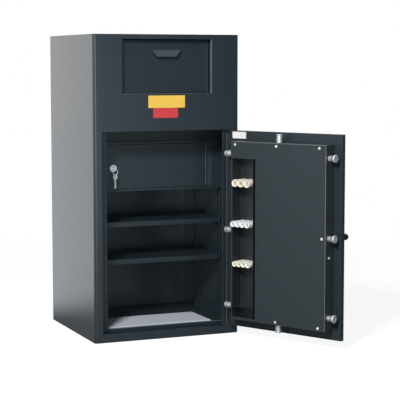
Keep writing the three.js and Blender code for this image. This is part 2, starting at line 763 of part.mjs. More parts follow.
// A flat key lying in the plane of Y and Z, bow towards -Y, its blade's tip at the origin
function keyGeometry(bladeLong) {
  const half = key.thick / 2;
  const bowY = -bladeLong - key.shank - key.bow;
  const bow = barX(key.bow, -half, half, bowY, 0);
  const hole = barX(key.hole, -half - over, half + over, bowHoleY(bladeLong), 0, rodSides / 2);
  const blade = block(-half, half, -bladeLong - key.shank - seam, 0, -key.blade, key.blade);
  const notches = notchShares.map((share) => {
    const y = -bladeLong * share;
    const top = key.blade + over;
    return block(-half - over, half + over, y - key.thick / 2, y + key.thick / 2, key.notchTop, top);
  });
  return cut(join(bow, blade), hole, ...notches);
}

function bowHoleY(bladeLong) {
  return -bladeLong - key.shank - key.bow - key.holeOut;
}

function splitRing() {
  return new THREE.TorusGeometry(ring.radius, ring.wire, 8, rodSides).rotateX(Math.PI / 2);
}

// Deposit head

function headFloorGeometry() {
  const half = headFloor.hole / 2;
  const hole = block(-half, half, holeFrontY, holeBackY, headBottom - over, headTop + over);
  return cut(block(-wallX, wallX, insideFront + innerBend, insideBack, headBottom, headTop), hole);
}

const flapRod = { y: frontY + flap.fromFront, z: mouthTop - flap.below };

// Side sheet of the head, with the two ledges between which the tray's lip runs
function cheekGeometry(side) {
  const x0 = mouthHalf;
  const z0 = headTop + seam;
  const z1 = body.height - body.steel - seam;
  const y0 = frontY + track.front;
  const y1 = trayBack + track.past;
  const low = trayTop - seam - track.thick;
  const high = trayTop + drawer.traySheet + 4 * seam;
  const sheet = block(x0, x0 + cheek.sheet, insideFront, holeFrontY - cheek.short, z0, z1);
  const ledges = [low, high].map((z) => block(x0 - track.wide, x0 + seam, y0, y1, z, z + track.thick));
  const rodHole = barX(flap.rod + flap.rodPlay, x0 - over, x0 + cheek.sheet + over, flapRod.y, flapRod.z);
  const right = cut(join(sheet, ...ledges), rodHole);
  return side > 0 ? right : mirrored(right);
}

// Bent sheet under the drawer: a level shelf, then a slope down to the hole in the head floor
function chuteSlide() {
  const x = mouthHalf - seam;
  const top = mouthSill;
  const low = headTop + seam;
  const t = chute.sheet;
  const y0 = insideFront;
  const yLevel = frontY + chute.level;
  const yEnd = holeFrontY - chute.short;
  return drawnX([
    [y0, top - t], [yLevel - seam, top - t], [yEnd - t, low],
    [yEnd, low + chute.toe], [yLevel, top], [y0, top],
  ], -x, x);
}

// Sheet with saw teeth along its lower edge, hung behind the tray
function fishBaffle() {
  const x = mouthHalf - seam;
  const top = body.height - body.steel - seam;
  const low = top - baffle.drop;
  const count = Math.round((2 * x) / baffle.tooth);
  const step = (2 * x) / count;
  const teeth = Array.from({ length: count }, (unused, index) => [
    [-x + index * step, low], [-x + (index + 0.5) * step, low - baffle.toothHigh],
  ]).flat();
  return drawnY([[-x, top], ...teeth, [x, low], [x, top]], baffleY, baffleY + baffle.sheet);
}

// One way flap on a rod: a deposit pushes it back, and it falls shut behind
function dropFlap() {
  const x = trayHalf - flap.sideGap;
  const low = trayFloor + drawer.traySheet + flap.floorGap;
  const rod = barX(flap.rod, -mouthHalf - cheek.sheet, mouthHalf + cheek.sheet, flapRod.y, flapRod.z);
  const half = flap.sheet / 2;
  const sheet = block(-x, x, flapRod.y - half, flapRod.y + half, low, flapRod.z);
  const hem = block(-x, x, flapRod.y - half, flapRod.y + half + flap.sheet, low, low + flap.hem);
  return join(rod, sheet, hem);
}

// Drawer

function drawerFront() {
  const x = mouthHalf - drawer.gap;
  const faceY = frontY + mouth.reveal;
  return panGeometry(-x, x, mouthSill + drawer.gap, mouthTop - drawer.gap, faceY, faceY + drawer.flange,
    drawer.sheet);
}

// Tray with a floor, two sides and lips that run in the tracks, open at the back
function drawerTray() {
  const x = trayHalf;
  const t = drawer.traySheet;
  const z0 = trayFloor;
  const z1 = trayTop;
  const lip = x + drawer.lip;
  const profile = [
    [-x, z0], [x, z0], [x, z1], [lip, z1], [lip, z1 + t], [x - t, z1 + t], [x - t, z0 + t],
    [-x + t, z0 + t], [-x + t, z1 + t], [-lip, z1 + t], [-lip, z1], [-x, z1],
  ];
  const clearY = frontY + mouth.reveal + drawer.flange + 4 * seam;
  const corner = block(x, lip + over, trayFront - over, clearY, z1 - over, z1 + t + over);
  return cut(drawnY(profile, trayFront, trayBack), corner, mirrored(corner));
}

// Hood shaped finger pull, open underneath
function hood(shrink) {
  const wide = pull.wide / 2 - shrink;
  const narrow = pull.narrow / 2 - shrink;
  const backFace = frontY + mouth.reveal - seam + (shrink ? over : 0);
  const out = frontY + mouth.reveal - pull.out + shrink;
  const top = mouthTop - pull.below - shrink;
  const low = mouthTop - pull.below - pull.high - (shrink ? shrink : 0);
  return new ConvexGeometry([
    [-wide, backFace, top], [wide, backFace, top], [-narrow, backFace, low], [narrow, backFace, low],
    [-narrow, out, low], [narrow, out, low],
  ].map(([x, y, z]) => new THREE.Vector3(x, y, z)));
}

function drawerPull() {
  return cut(hood(0), hood(pull.sheet));
}

// Plain colour plates on the front, with nothing on them
function colourPlate({ width, height, x, top }) {
  const half = width / 2;
  const y1 = frontY - seam;
  const outline = roundedOutline(x - half, x + half, top - height, top, plate.corner);
  return drawnShapeY(outline, y1 - plate.thick, y1);
}

// Assembly

function bodyPieces() {
  const spans = hingeSpans();
  const postYs = { front: frontY + shelf.front + post.inset, back: shelfBackY - post.inset };
  return [
    mesh('body_wrap', bodyWrap(), charcoal()),
    mesh('top_plate', topPlate(), charcoal()),
    mesh('bottom_plate', bottomPlate(), charcoal()),
    mesh('back_plate', backPlate(), charcoal()),
    mesh('door_frame', doorFrame(), charcoal()),
    mesh('bolt_keeper', boltKeeper(), innerPaint()),
    mesh('hinge_socket_upper', hingeSocket(spans.upper[0]), charcoal()),
    mesh('hinge_socket_lower', hingeSocket(spans.lower[0]), charcoal()),
    mesh('floor_pan', floorPan(), innerPaint()),
    mesh('floor_mat', floorMat(), finish(0xa9acb4, 0.95, 0)),
    mesh('shelf_upper', shelfGeometry(shelfTops[0]), innerPaint()),
    mesh('shelf_lower', shelfGeometry(shelfTops[1]), innerPaint()),
    mesh('post_front_left', shelfPost(-1, postYs.front), innerPaint()),
    mesh('post_front_right', shelfPost(1, postYs.front), innerPaint()),
    mesh('post_back_left', shelfPost(-1, postYs.back), innerPaint()),
    mesh('post_back_right', shelfPost(1, postYs.back), innerPaint()),
    mesh('locker_case', lockerCase(), innerPaint()),
    mesh('locker_face', lockerFace(), innerPaint()),
    mesh('locker_hinge', lockerHinge(), darkSteel()),
    mesh('head_floor', headFloorGeometry(), innerPaint()),
    mesh('cheek_left', cheekGeometry(-1), innerPaint()),
    mesh('cheek_right', cheekGeometry(1), innerPaint()),
    mesh('chute_slide', chuteSlide(), innerPaint()),
    mesh('fish_baffle', fishBaffle(), innerPaint()),
    ...plates.map((each) => mesh(each.name, colourPlate(each), finish(each.colour, 0.5, 0))),
  ];
}

function drawerPieces() {
  return [
    mesh('drawer_front', drawerFront(), charcoal()),
    mesh('drawer_tray', drawerTray(), innerPaint()),
    mesh('drawer_pull', drawerPull(), charcoal()),
    mesh('drop_flap', dropFlap(), innerPaint()),
  ];
}

function lockerDoorPieces() {
  const bladeIn = lockFaceY + key.slotIn;
  const lockKey = mesh('locker_key', keyGeometry(key.slotIn), steel());
  lockKey.position.set(lockX, bladeIn, lockZ);
  const hangY = bladeIn + bowHoleY(key.slotIn);
  const seat = key.hole - ring.wire - ring.play;
  const ringZ = lockZ - seat - ring.radius;
  const keyRing = mesh('key_ring', splitRing(), steel());
  keyRing.position.set(lockX, hangY, ringZ);
  const spareKey = mesh('spare_key', keyGeometry(key.bladeLong), steel());
  const hang = new THREE.Group();
  hang.position.set(lockX, hangY, ringZ - ring.radius - seat);
  hang.rotation.set(0, 0, THREE.MathUtils.degToRad(spare.turn));
  spareKey.rotation.set(-Math.PI / 2, 0, 0);
  spareKey.position.set(0, 0, bowHoleY(key.bladeLong));
  hang.add(spareKey);
  return [
    mesh('locker_door', lockerDoor(), innerPaint()),
    mesh('lock_barrel', lockBarrel(), steel()),
    mesh('lock_plug', lockPlug(), steel()),
    mesh('lock_cam', lockCam(), darkSteel()),
    lockKey,
    keyRing,
    hang,
  ];
}

function doorPieces() {
  const spans = hingeSpans();
  const heights = Object.entries(boltHeights);
  const papers = [0xf6e9dd, 0xf2f2f5, 0xf3f2e2];
  return [
    mesh('door_plate', doorPlate(), charcoal()),
    mesh('bolt_box', boltBox(), charcoal()),
    mesh('coin_rack', coinRack(), innerPaint()),
    ...coinRolls.map((row, index) => mesh(row.name, rollRow(row, rack.shelves - 1 - index),
      paper(papers[index]))),
    ...heights.map(([place, z]) => mesh(`side_bolt_${place}`, sideBolt(z), steel())),
    ...heights.map(([place, z]) => mesh(`dead_pin_${place}`, deadPinGeometry(z), steel())),
    mesh('bolt_bar', boltBar(), darkSteel()),
    mesh('top_bolt', endBoltGeometry(true), steel()),
    mesh('bottom_bolt', endBoltGeometry(false), steel()),
    mesh('hinge_barrel_upper', hingeBarrel(spans.upper[0]), charcoal()),
    mesh('hinge_barrel_lower', hingeBarrel(spans.lower[0]), charcoal()),
    mesh('lock_case', lockCaseGeometry(), darkSteel()),
    mesh('dial_ring', dialRing(), darkSteel()),
    mesh('lock_dial', lockDial(), blackPlastic()),
    mesh('door_handle', doorHandle(), blackPlastic()),
    mesh('handle_spindle', handleSpindle(), darkSteel()),
  ];
}

function hungDoor() {
  const turn = new THREE.Group();
  turn.position.set(axisX, axisY, 0);
  turn.rotation.set(0, 0, THREE.MathUtils.degToRad(swing.angle));
  const shut = new THREE.Group();
  shut.position.set(-axisX, -axisY, 0);
  shut.add(...doorPieces());
  turn.add(shut);
  return turn;
}

const safe = new THREE.Group();
safe.add(...bodyPieces(), ...drawerPieces(), ...lockerDoorPieces(), hungDoor());

export default safe;
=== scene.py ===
import json
import math
import bmesh
import bpy
from mathutils import Matrix, Vector


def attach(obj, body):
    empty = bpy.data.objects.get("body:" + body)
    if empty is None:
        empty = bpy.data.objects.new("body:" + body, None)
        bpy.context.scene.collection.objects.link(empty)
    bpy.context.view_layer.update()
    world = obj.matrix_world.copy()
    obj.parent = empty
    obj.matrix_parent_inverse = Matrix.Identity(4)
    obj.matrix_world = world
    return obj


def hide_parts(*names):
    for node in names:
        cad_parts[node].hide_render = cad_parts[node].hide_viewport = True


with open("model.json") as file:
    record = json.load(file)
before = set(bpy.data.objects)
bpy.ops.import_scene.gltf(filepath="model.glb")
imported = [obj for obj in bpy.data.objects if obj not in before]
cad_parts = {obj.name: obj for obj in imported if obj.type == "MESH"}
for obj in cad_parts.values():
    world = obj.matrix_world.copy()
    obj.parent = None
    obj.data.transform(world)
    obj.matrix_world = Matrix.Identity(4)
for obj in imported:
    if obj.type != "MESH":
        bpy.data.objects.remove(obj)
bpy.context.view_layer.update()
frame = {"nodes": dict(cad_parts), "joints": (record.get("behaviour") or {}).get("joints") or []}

nodes = frame["nodes"]
scene = bpy.context.scene


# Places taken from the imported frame
def joint(name):
    return next(each for each in frame["joints"] if each["name"] == name)


swing = joint("door_swing")
hinge_point = Vector(swing["pos_m"])
swung = Matrix.Rotation(-math.radians(swing["range_deg"][0]), 4, "Z")
OPENED = Matrix.Translation(hinge_point) @ swung @ Matrix.Translation(-hinge_point)
SHUT = OPENED.inverted()
AS_BUILT = Matrix.Identity(4)

# Turns of a round piece's own axis, which is +Z
TO_LEFT = Matrix.Rotation(-math.pi / 2, 4, "Y")
TO_RIGHT = Matrix.Rotation(math.pi / 2, 4, "Y")
TO_FRONT = Matrix.Rotation(math.pi / 2, 4, "X")
TO_BACK = Matrix.Rotation(-math.pi / 2, 4, "X")


def span(name, turn=AS_BUILT):
    """Lowest and highest corner of a CAD node, in the frame of the shut door where turn is SHUT."""
    points = [turn @ vertex.co for vertex in nodes[name].data.vertices]
    return Vector(map(min, zip(*points))), Vector(map(max, zip(*points)))


def middle(name, turn=AS_BUILT):
    low, high = span(name, turn)
    return (low + high) / 2


# Camera: place, turn and focal length worked out from the edges of the body and the door
def make_camera():
    place = Vector((-1.67853, -4.49664, 0.92234))
    yaw, pitch, roll = 0.398905, -0.099164, -0.00032
    focal_pixels, image_pixels, sensor_mm, far_limit = 1378.825, 400.0, 36.0, 50.0
    ahead = Vector((math.sin(yaw) * math.cos(pitch), math.cos(yaw) * math.cos(pitch), math.sin(pitch)))
    right = Vector((math.cos(yaw), -math.sin(yaw), 0.0))
    up = right.cross(ahead)
    right, up = (
        math.cos(roll) * right + math.sin(roll) * up,
        math.cos(roll) * up - math.sin(roll) * right,
    )
    data = bpy.data.cameras.new("camera")
    data.sensor_width = sensor_mm
    data.lens = sensor_mm * focal_pixels / image_pixels
    data.clip_end = far_limit
    camera = bpy.data.objects.new("camera", data)
    turn = Matrix((right, up, -ahead)).transposed().to_4x4()
    camera.matrix_world = Matrix.Translation(place) @ turn
    scene.collection.objects.link(camera)
    scene.camera = camera


# Materials
class Nodes:
    """A procedural material in the making, with its textures in the object's own space."""

    def __init__(self, name):
        self.material = bpy.data.materials.new(name)
        self.material.use_nodes = True
        self.tree = self.material.node_tree
        self.tree.nodes.clear()
        self.out = self.add("ShaderNodeOutputMaterial")
        self.where = self.add("ShaderNodeTexCoord").outputs["Object"]

    def add(self, kind, **values):
        node = self.tree.nodes.new(kind)
        for key, value in values.items():
            setattr(node, key, value)
        return node

    def link(self, a, b):
        self.tree.links.new(a, b)

    def noise(self, scale, detail=4.0, rough=0.5, stretch=None):
        node = self.add("ShaderNodeTexNoise")
        node.inputs["Scale"].default_value = scale
        node.inputs["Detail"].default_value = detail
        node.inputs["Roughness"].default_value = rough
        self.link(self.mapped(stretch), node.inputs["Vector"])
        return node.outputs["Fac"]

    def mapped(self, stretch):
        if stretch is None:
            return self.where
        node = self.add("ShaderNodeMapping")
        node.inputs["Scale"].default_value = stretch
        self.link(self.where, node.inputs["Vector"])
        return node.outputs["Vector"]

    def spread(self, value, low, high, start=0.3, end=0.7):
        node = self.add("ShaderNodeMapRange")
        node.inputs["From Min"].default_value = start
        node.inputs["From Max"].default_value = end
        node.inputs["To Min"].default_value = low
        node.inputs["To Max"].default_value = high
        self.link(value, node.inputs["Value"])
        return node.outputs["Result"]

    def product(self, first, second):
        node = self.add("ShaderNodeMath", operation="MULTIPLY")
        self.link(first, node.inputs[0])
        self.link(second, node.inputs[1])
        return node.outputs["Value"]

    def tint(self, value, low, high):
        node = self.add("ShaderNodeMix", data_type="RGBA")
        node.inputs["A"].default_value = (*low, 1.0)
        node.inputs["B"].default_value = (*high, 1.0)
        self.link(value, node.inputs["Factor"])
        return node.outputs["Result"]

    def bump(self, value, height, strength, base=None):
        node = self.add("ShaderNodeBump")
        node.inputs["Strength"].default_value = strength
        node.inputs["Distance"].default_value = height
        self.link(value, node.inputs["Height"])
        if base is not None:
            self.link(base, node.inputs["Normal"])
        return node.outputs["Normal"]

    def surface(self, colour, rough, normal, **fixed):
        shader = self.add("ShaderNodeBsdfPrincipled")
        self.link(colour, shader.inputs["Base Color"])
        self.link(rough, shader.inputs["Roughness"])
        self.link(normal, shader.inputs["Normal"])
        for key, value in fixed.items():
            shader.inputs[key.replace("_", " ")].default_value = value
        self.link(shader.outputs["BSDF"], self.out.inputs["Surface"])
        return self.material


def linear(level):
    """Linear value of an sRGB level between 0 and 255."""
    value = level / 255
    return value / 12.92 if value <= 0.04045 else ((value + 0.055) / 1.055) ** 2.4


def srgb(*levels):
    return tuple(map(linear, levels))


def shade(colour, factor):
    return tuple(min(1.0, c * factor) for c in colour)


def paint(name, colour, rough, coat=0.9, spread=0.06, grain=420.0, height=0.00009):
    """Sprayed enamel: faint mottling, a fine orange peel, slightly uneven gloss and a clear top layer."""
    m = Nodes(name)
    mottle = m.spread(m.noise(9.0, detail=5.0, rough=0.6), 0.0, 1.0)
    tint = m.tint(mottle, shade(colour, 1.0 - spread), shade(colour, 1.0 + spread))
    gloss = m.spread(m.noise(35.0, detail=3.0), rough - 0.02, rough + 0.03)
    peel = m.bump(m.noise(grain, detail=2.0, rough=0.55), height, 0.6)
    fine = m.bump(m.noise(grain * 3.1, detail=2.0, rough=0.6), height * 0.4, 0.5, peel)
    return m.surface(tint, gloss, fine, Coat_Weight=coat, Coat_Roughness=rough)


def textured_paint(name, colour, rough):
    """Baked wrinkle enamel: small raised grains, with painted light on their tops and painted shade between
    them.
    """
    m = Nodes(name)
    grains = m.noise(230.0, detail=3.0, rough=0.7)
    clouds = m.noise(70.0, detail=3.0, rough=0.65)
    # The grain noise also raises the surface, so its lighter tint on the grain tops is painted light; the
    # clouds are random tone
    grain_light_and_tone = m.product(m.spread(grains, 0.35, 1.0), m.spread(clouds, 0.55, 1.0))
    tint = m.tint(grain_light_and_tone, shade(colour, 0.72), shade(colour, 1.34))
    gloss = m.spread(grains, rough + 0.1, rough - 0.05)
    coarse = m.bump(grains, 0.0007, 0.55)
    return m.surface(tint, gloss, m.bump(m.noise(900.0, detail=2.0, rough=0.6), 0.0002, 0.4, coarse))


def metal(name, colour, rough, stretch, bare=1.0, spread=0.06):
    """Machined metal: fine lines along one way and smears of handling."""
    m = Nodes(name)
    lines = m.noise(60.0, detail=4.0, rough=0.6, stretch=stretch)
    smear = m.noise(25.0, detail=3.0)
    tint = m.tint(m.spread(smear, 0.0, 1.0), shade(colour, 1.0 - spread), shade(colour, 1.0 + spread))
    gloss = m.spread(lines, rough - 0.06, rough + 0.1)
    normal = m.bump(lines, 0.00004, 0.5)
    return m.surface(tint, gloss, normal, Metallic=bare)


def plastic(name, colour, rough):
    """Moulded or sprayed plastic: even colour and a slightly uneven gloss."""
    m = Nodes(name)
    tint = m.tint(m.spread(m.noise(20.0), 0.0, 1.0), shade(colour, 0.95), shade(colour, 1.05))
    gloss = m.spread(m.noise(90.0, detail=3.0), rough - 0.05, rough + 0.06)
    return m.surface(tint, gloss, m.bump(m.noise(1500.0, detail=2.0), 0.00002, 0.4))


def wrapper(name, colour):
    """Coin paper: fibres, and creases round the coins beneath, darker where the creases sink: painted shade.
    """
    m = Nodes(name)
    fibre = m.noise(420.0, detail=4.0, rough=0.6, stretch=(1.0, 0.3, 1.0))
    crease = m.noise(160.0, detail=3.0, rough=0.6)
    # The crease noise also sinks the surface, so darkening by it is painted shade in the creases
    tint = m.tint(m.product(m.spread(fibre, 0.75, 1.0), m.spread(crease, 0.8, 1.0)),
                  shade(colour, 0.74), shade(colour, 1.08))
    gloss = m.spread(fibre, 0.65, 0.8)
    return m.surface(tint, gloss, m.bump(crease, 0.0004, 0.6))


def felt(name, colour):
    """Pressed fibres with pale blotches; the fibres are darker where they sink, partly their own tone and
    partly painted shade.
    """
    m = Nodes(name)
    fibre = m.noise(900.0, detail=5.0, rough=0.7)
    blotch = m.noise(14.0, detail=4.0, rough=0.6)
    # The fibre noise also sinks the surface: its darkening is partly fibre tone and partly painted shade in
    # the hollows
    tint = m.tint(m.product(m.spread(fibre, 0.6, 1.0), m.spread(blotch, 0.8, 1.0)),
                  shade(colour, 0.7), shade(colour, 1.1))
    gloss = m.spread(fibre, 0.9, 1.0)
    return m.surface(tint, gloss, m.bump(fibre, 0.0006, 0.8))


CHARCOAL = srgb(34, 44, 51)
materials = {
    "shell": paint("shell_paint", CHARCOAL, 0.3),
    "textured": textured_paint("textured_paint", srgb(42, 50, 55), 0.5),
    "inner": paint("inner_paint", srgb(27, 40, 47), 0.4, coat=0.7),
    "drawer": paint("drawer_paint", srgb(32, 42, 49), 0.34, coat=0.25),
    "leaf": paint("leaf_paint", srgb(32, 43, 49), 0.45, coat=0.2),
    # Lighter than the drawer's paint: painted light on the pull's upward-facing hood
    "pull": paint("pull_lit_paint", srgb(48, 58, 65), 0.6, coat=0.1),
    # Lighter copy of the inner paint for the locker hinge and the stop lip's edge bead: a painted highlight
    # for their light lines
    "hinge": paint("hinge_highlight_paint", srgb(46, 56, 62), 0.4, coat=0.4),
    # Lighter paint for beads and strips along edges: a painted highlight for the light lines that rounded
    # edges catch
    "painted_highlight": paint("painted_highlight_edge", srgb(98, 106, 111), 0.45, coat=0.3, spread=0.2, grain=240.0,
                    height=0.0001),
    "steel": metal("turned_steel", srgb(214, 217, 221), 0.24, (1.0, 1.0, 14.0)),
    "nickel": metal("satin_nickel", srgb(232, 234, 238), 0.42, (1.0, 1.0, 4.0), bare=0.8),
    "key": metal("key_nickel", srgb(246, 247, 248), 0.5, (1.0, 1.0, 4.0), bare=0.6),
    "dark_steel": metal("dark_steel", srgb(112, 117, 122), 0.42, (1.0, 1.0, 6.0)),
    "black": plastic("black_plastic", srgb(20, 21, 23), 0.25),
    # Darker than the inner paint: painted shade for the rack's deep pocket
    "rack": paint("rack_shade_paint", srgb(17, 24, 28), 0.45),
    "yellow": plastic("yellow_plate", srgb(244, 198, 82), 0.45),
    "red": plastic("red_plate", srgb(208, 64, 66), 0.45),
    "white": plastic("dial_white", srgb(232, 232, 228), 0.5),
    "card": plastic("blank_card", srgb(236, 232, 230), 0.6),
    "felt": felt("floor_felt", srgb(206, 211, 221)),
    "coin": metal("coin_metal", srgb(214, 202, 182), 0.5, (8.0, 8.0, 8.0), bare=0.5, spread=0.2),
    "paper_large": wrapper("wrapper_rose", srgb(252, 234, 222)),
    "paper_medium": wrapper("wrapper_blue", srgb(240, 243, 250)),
    "paper_small": wrapper("wrapper_green", srgb(245, 243, 226)),
}

# The nodes that keep their own solid, by material
by_node = {
    "shell": ["body_wrap", "top_plate", "bottom_plate", "back_plate", "door_frame", "hinge_socket_upper",
              "hinge_socket_lower", "hinge_barrel_upper", "hinge_barrel_lower"],
    "leaf": ["door_plate"],
    "drawer": ["drawer_front"],
    "textured": ["bolt_box"],
    "inner": ["bolt_keeper", "floor_pan", "shelf_upper", "shelf_lower", "post_front_left", "post_front_right",
              "post_back_left", "post_back_right", "locker_case", "locker_face", "head_floor", "cheek_left",
              "cheek_right", "chute_slide", "fish_baffle", "drawer_tray", "drop_flap", "locker_door"],
    # The locker hinge takes the lighter hinge paint, a painted highlight
    "hinge": ["locker_hinge"],
    # The coin rack takes the darker rack paint, a painted shade
    "rack": ["coin_rack"],
    "nickel": ["top_bolt", "bottom_bolt"],
    "key": ["lock_barrel", "lock_plug", "locker_key", "key_ring", "spare_key"],
    "dark_steel": ["lock_cam", "bolt_bar", "lock_case", "dial_ring", "handle_spindle"],
    "yellow": ["upper_plate"],
    "red": ["lower_plate"],
}

# The same nodes by the radius of their rounded edges, in metres
edge_radius = {
    0.0016: ["bolt_box"],
    0.0012: ["top_plate", "bottom_plate", "back_plate", "door_frame", "body_wrap", "door_plate"],
    0.001: ["locker_case", "shelf_upper", "shelf_lower"],
    0.0006: ["bolt_keeper", "floor_pan", "head_floor", "lock_case", "drawer_front", "locker_face",
             "bolt_bar"],
    0.0004: ["hinge_socket_upper", "hinge_socket_lower", "hinge_barrel_upper", "hinge_barrel_lower",
             "cheek_left", "cheek_right", "chute_slide", "fish_baffle", "drawer_tray", "drop_flap",
             "coin_rack", "locker_door", "post_front_left", "post_front_right", "post_back_left",
             "post_back_right"],
    0.0003: ["top_bolt", "bottom_bolt", "lock_barrel", "lock_plug", "locker_key", "spare_key", "lock_cam",
             "dial_ring", "handle_spindle", "locker_hinge", "upper_plate", "lower_plate"],
}


# Angles at which a surface counts as sharp or flat, and the distance at which corners are one
SHARP = math.radians(35.0)
FLAT = math.radians(0.5)
SAME_CORNER = 1e-6


def smoothed(obj):
    for polygon in obj.data.polygons:
        polygon.use_smooth = True
    obj.data.set_sharp_from_angle(angle=SHARP)


def round_edges(obj, radius):
    """Joins the solid's split corners, clears the lines across its flat faces and rounds its edges."""
    data = obj.data
    if "custom_normal" in data.attributes:
        data.attributes.remove(data.attributes["custom_normal"])
    for polygon in data.polygons:
        polygon.use_smooth = True
    weld = obj.modifiers.new("weld", "WELD")
    weld.merge_threshold = SAME_CORNER
    flat = obj.modifiers.new("flat", "DECIMATE")
    flat.decimate_type = "DISSOLVE"
    flat.angle_limit = FLAT
    edge = obj.modifiers.new("edge", "BEVEL")
    edge.width = radius
    edge.segments = 2
    edge.limit_method = "ANGLE"
    edge.angle_limit = SHARP
    edge.harden_normals = True


def dress_nodes():
    for key, names in by_node.items():
        for name in names:
            nodes[name].data.materials.clear()
            nodes[name].data.materials.append(materials[key])
    for radius, names in edge_radius.items():
        for name in names:
            round_edges(nodes[name], radius)


# Mesh helpers
ON_AXIS = 1e-7


def piece(name, mesh, looks, body, turn=AS_BUILT, stands_for=()):
    """Makes an object of the part from a bmesh, in the frame of the shut door where turn is OPENED."""
    data = bpy.data.meshes.new(name)
    bmesh.ops.recalc_face_normals(mesh, faces=mesh.faces)
    mesh.to_mesh(data)
    mesh.free()
    data.transform(turn)
    for key in looks:
        data.materials.append(materials[key])
    obj = bpy.data.objects.new(name, data)
    scene.collection.objects.link(obj)
    smoothed(obj)
    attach(obj, body)
    if stands_for:
        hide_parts(*stands_for)


def turned(mesh, outline, place, steps=48, look=0, flutes=0, cut=0.0, grip=(1.0, 1.0)):
    """A round body from an outline of (radius, height), with flutes between the heights of its grip."""
    rings = []
    for radius, height in outline:
        count = steps if radius > ON_AXIS else 1
        angles = [2 * math.pi * index / steps for index in range(count)]
        deep = cut if grip[0] <= height <= grip[1] and count > 1 else 0.0
        around = [(radius - deep * (0.5 + 0.5 * math.cos(flutes * a)), a) for a in angles]
        rings.append([
            mesh.verts.new(place @ Vector((r * math.cos(a), r * math.sin(a), height))) for r, a in around
        ])
    for low, high in zip(rings, rings[1:]):
        for index in range(steps):
            after = (index + 1) % steps
            corners = (low[index % len(low)], low[after % len(low)],
                       high[after % len(high)], high[index % len(high)])
            face = mesh.faces.new(list(dict.fromkeys(corners)))
            face.material_index = look


def arc(middle_radius, middle_height, radius, start, end, steps=5):
    """Points of a round stretch of an outline, its angles in degrees from straight out."""
    angles = [math.radians(start + (end - start) * index / steps) for index in range(steps + 1)]
    return [(middle_radius + radius * math.cos(a), middle_height + radius * math.sin(a)) for a in angles]


def at(x, y, z, turn=AS_BUILT):
    return Matrix.Translation((x, y, z)) @ turn


def prism(mesh, outline, low, high, place, look=0):
    """A flat piece from an outline of (x, y), between two heights."""
    levels = [
        [mesh.verts.new(place @ Vector((x, y, height))) for x, y in outline] for height in (low, high)
    ]
    faces = [mesh.faces.new(level) for level in levels]
    for index in range(len(outline)):
        after = (index + 1) % len(outline)
        corners = (levels[0][index], levels[0][after], levels[1][after], levels[1][index])
        faces.append(mesh.faces.new(corners))
    for face in faces:
        face.material_index = look


# Bolts and pins, turned from bright bar
BOLT_STEPS = 64
PLACES = ("upper", "middle", "lower")


def bolt_outline(length, neck, head, flare, rim):
    """Slim neck, flared head, two fine grooves round the rim and a dimple at the tip."""
    chamfer, bevel, groove, groove_shares = 0.0012, 0.0006, 0.0005, (0.3, 0.62)
    hollow, hollow_rise = 0.003, 0.001
    dimple, dimple_edge, dimple_slope = 0.0016, 1.8, 0.4
    crown = length - rim
    foot = crown - flare
    grooves = []
    for share in groove_shares:
        height = crown + rim * share
        grooves += [(head, height - groove), (head - groove, height), (head, height + groove)]
    return [
        (0, 0), (neck, 0), (neck, foot - hollow),
        *arc(neck + hollow, foot - hollow_rise, hollow, 180, 130),
        (head - bevel, crown - bevel), (head, crown), *grooves, (head, length - chamfer),
        *arc(head - chamfer, length - chamfer, chamfer, 0, 90), (dimple * dimple_edge, length),
        (dimple, length - dimple * dimple_slope), (0, length - dimple),
    ]


def make_side_bolts():
    neck, flare, rim = 0.0095, 0.009, 0.005
    for place in PLACES:
        node = f"side_bolt_{place}"
        low, high = span(node, SHUT)
        centre = (low + high) / 2
        outline = bolt_outline(high.x - low.x, neck, (high.z - low.z) / 2, flare, rim)
        mesh = bmesh.new()
        turned(mesh, outline, at(high.x, centre.y, centre.z, TO_LEFT), BOLT_STEPS)
        piece(f"{node}_turned", mesh, ["nickel"], "side_bolts", OPENED, [node])


def make_sleeves():
    """Plain collars of the top and bottom bolt, between the cover and the bolt's own head."""
    head, clear, bevel = 0.0047, 0.0003, 0.0005
    cover_low, cover_high = span("bolt_box", SHUT)
    for node, foot, end, way in (
        ("top_bolt", cover_high.z, 1, AS_BUILT),
        ("bottom_bolt", cover_low.z, 0, Matrix.Rotation(math.pi, 4, "X")),
    ):
        low, high = span(node, SHUT)
        tip = (low, high)[end]
        radius = (high.y - low.y) / 2
        bar = radius - clear
        length = abs(tip.z - foot) - head
        mesh = bmesh.new()
        turned(mesh, [
            (0, clear), (bar - bevel, clear), (bar, clear + bevel), (bar, length - bevel),
            (bar - bevel, length), (0, length),
        ], at(high.x - radius, (low.y + high.y) / 2, foot, way), BOLT_STEPS)
        piece(f"{node}_sleeve", mesh, ["nickel"], node, OPENED)


def make_dead_pins():
    """Fixed pins of the hinge side: a waisted root and a rounded nose."""
    nose, shoulder, band, band_end, waist_share = 0.004, 0.0015, 0.003, 0.0036, 0.45
    for place in PLACES:
        node = f"dead_pin_{place}"
        low, high = span(node, SHUT)
        centre = (low + high) / 2
        radius, length = (high.z - low.z) / 2, high.x - low.x
        waist, waist_end = radius - shoulder, length * waist_share
        mesh = bmesh.new()
        turned(mesh, [
            (0, 0), (radius, 0), (radius, band), (waist, band_end), (waist, waist_end),
            (radius, waist_end + shoulder), (radius, length - nose),
            *arc(radius - nose, length - nose, nose, 0, 90, 8), (0, length),
        ], at(low.x, centre.y, centre.z, TO_RIGHT), BOLT_STEPS)
        piece(f"{node}_turned", mesh, ["nickel"], "door", OPENED, [node])


# Coin rolls: creased paper tubes, crimped over the last coin
ROLL_STEPS = 40
ROLL_LIP = 0.0013
ROLL_WELL = 0.0024


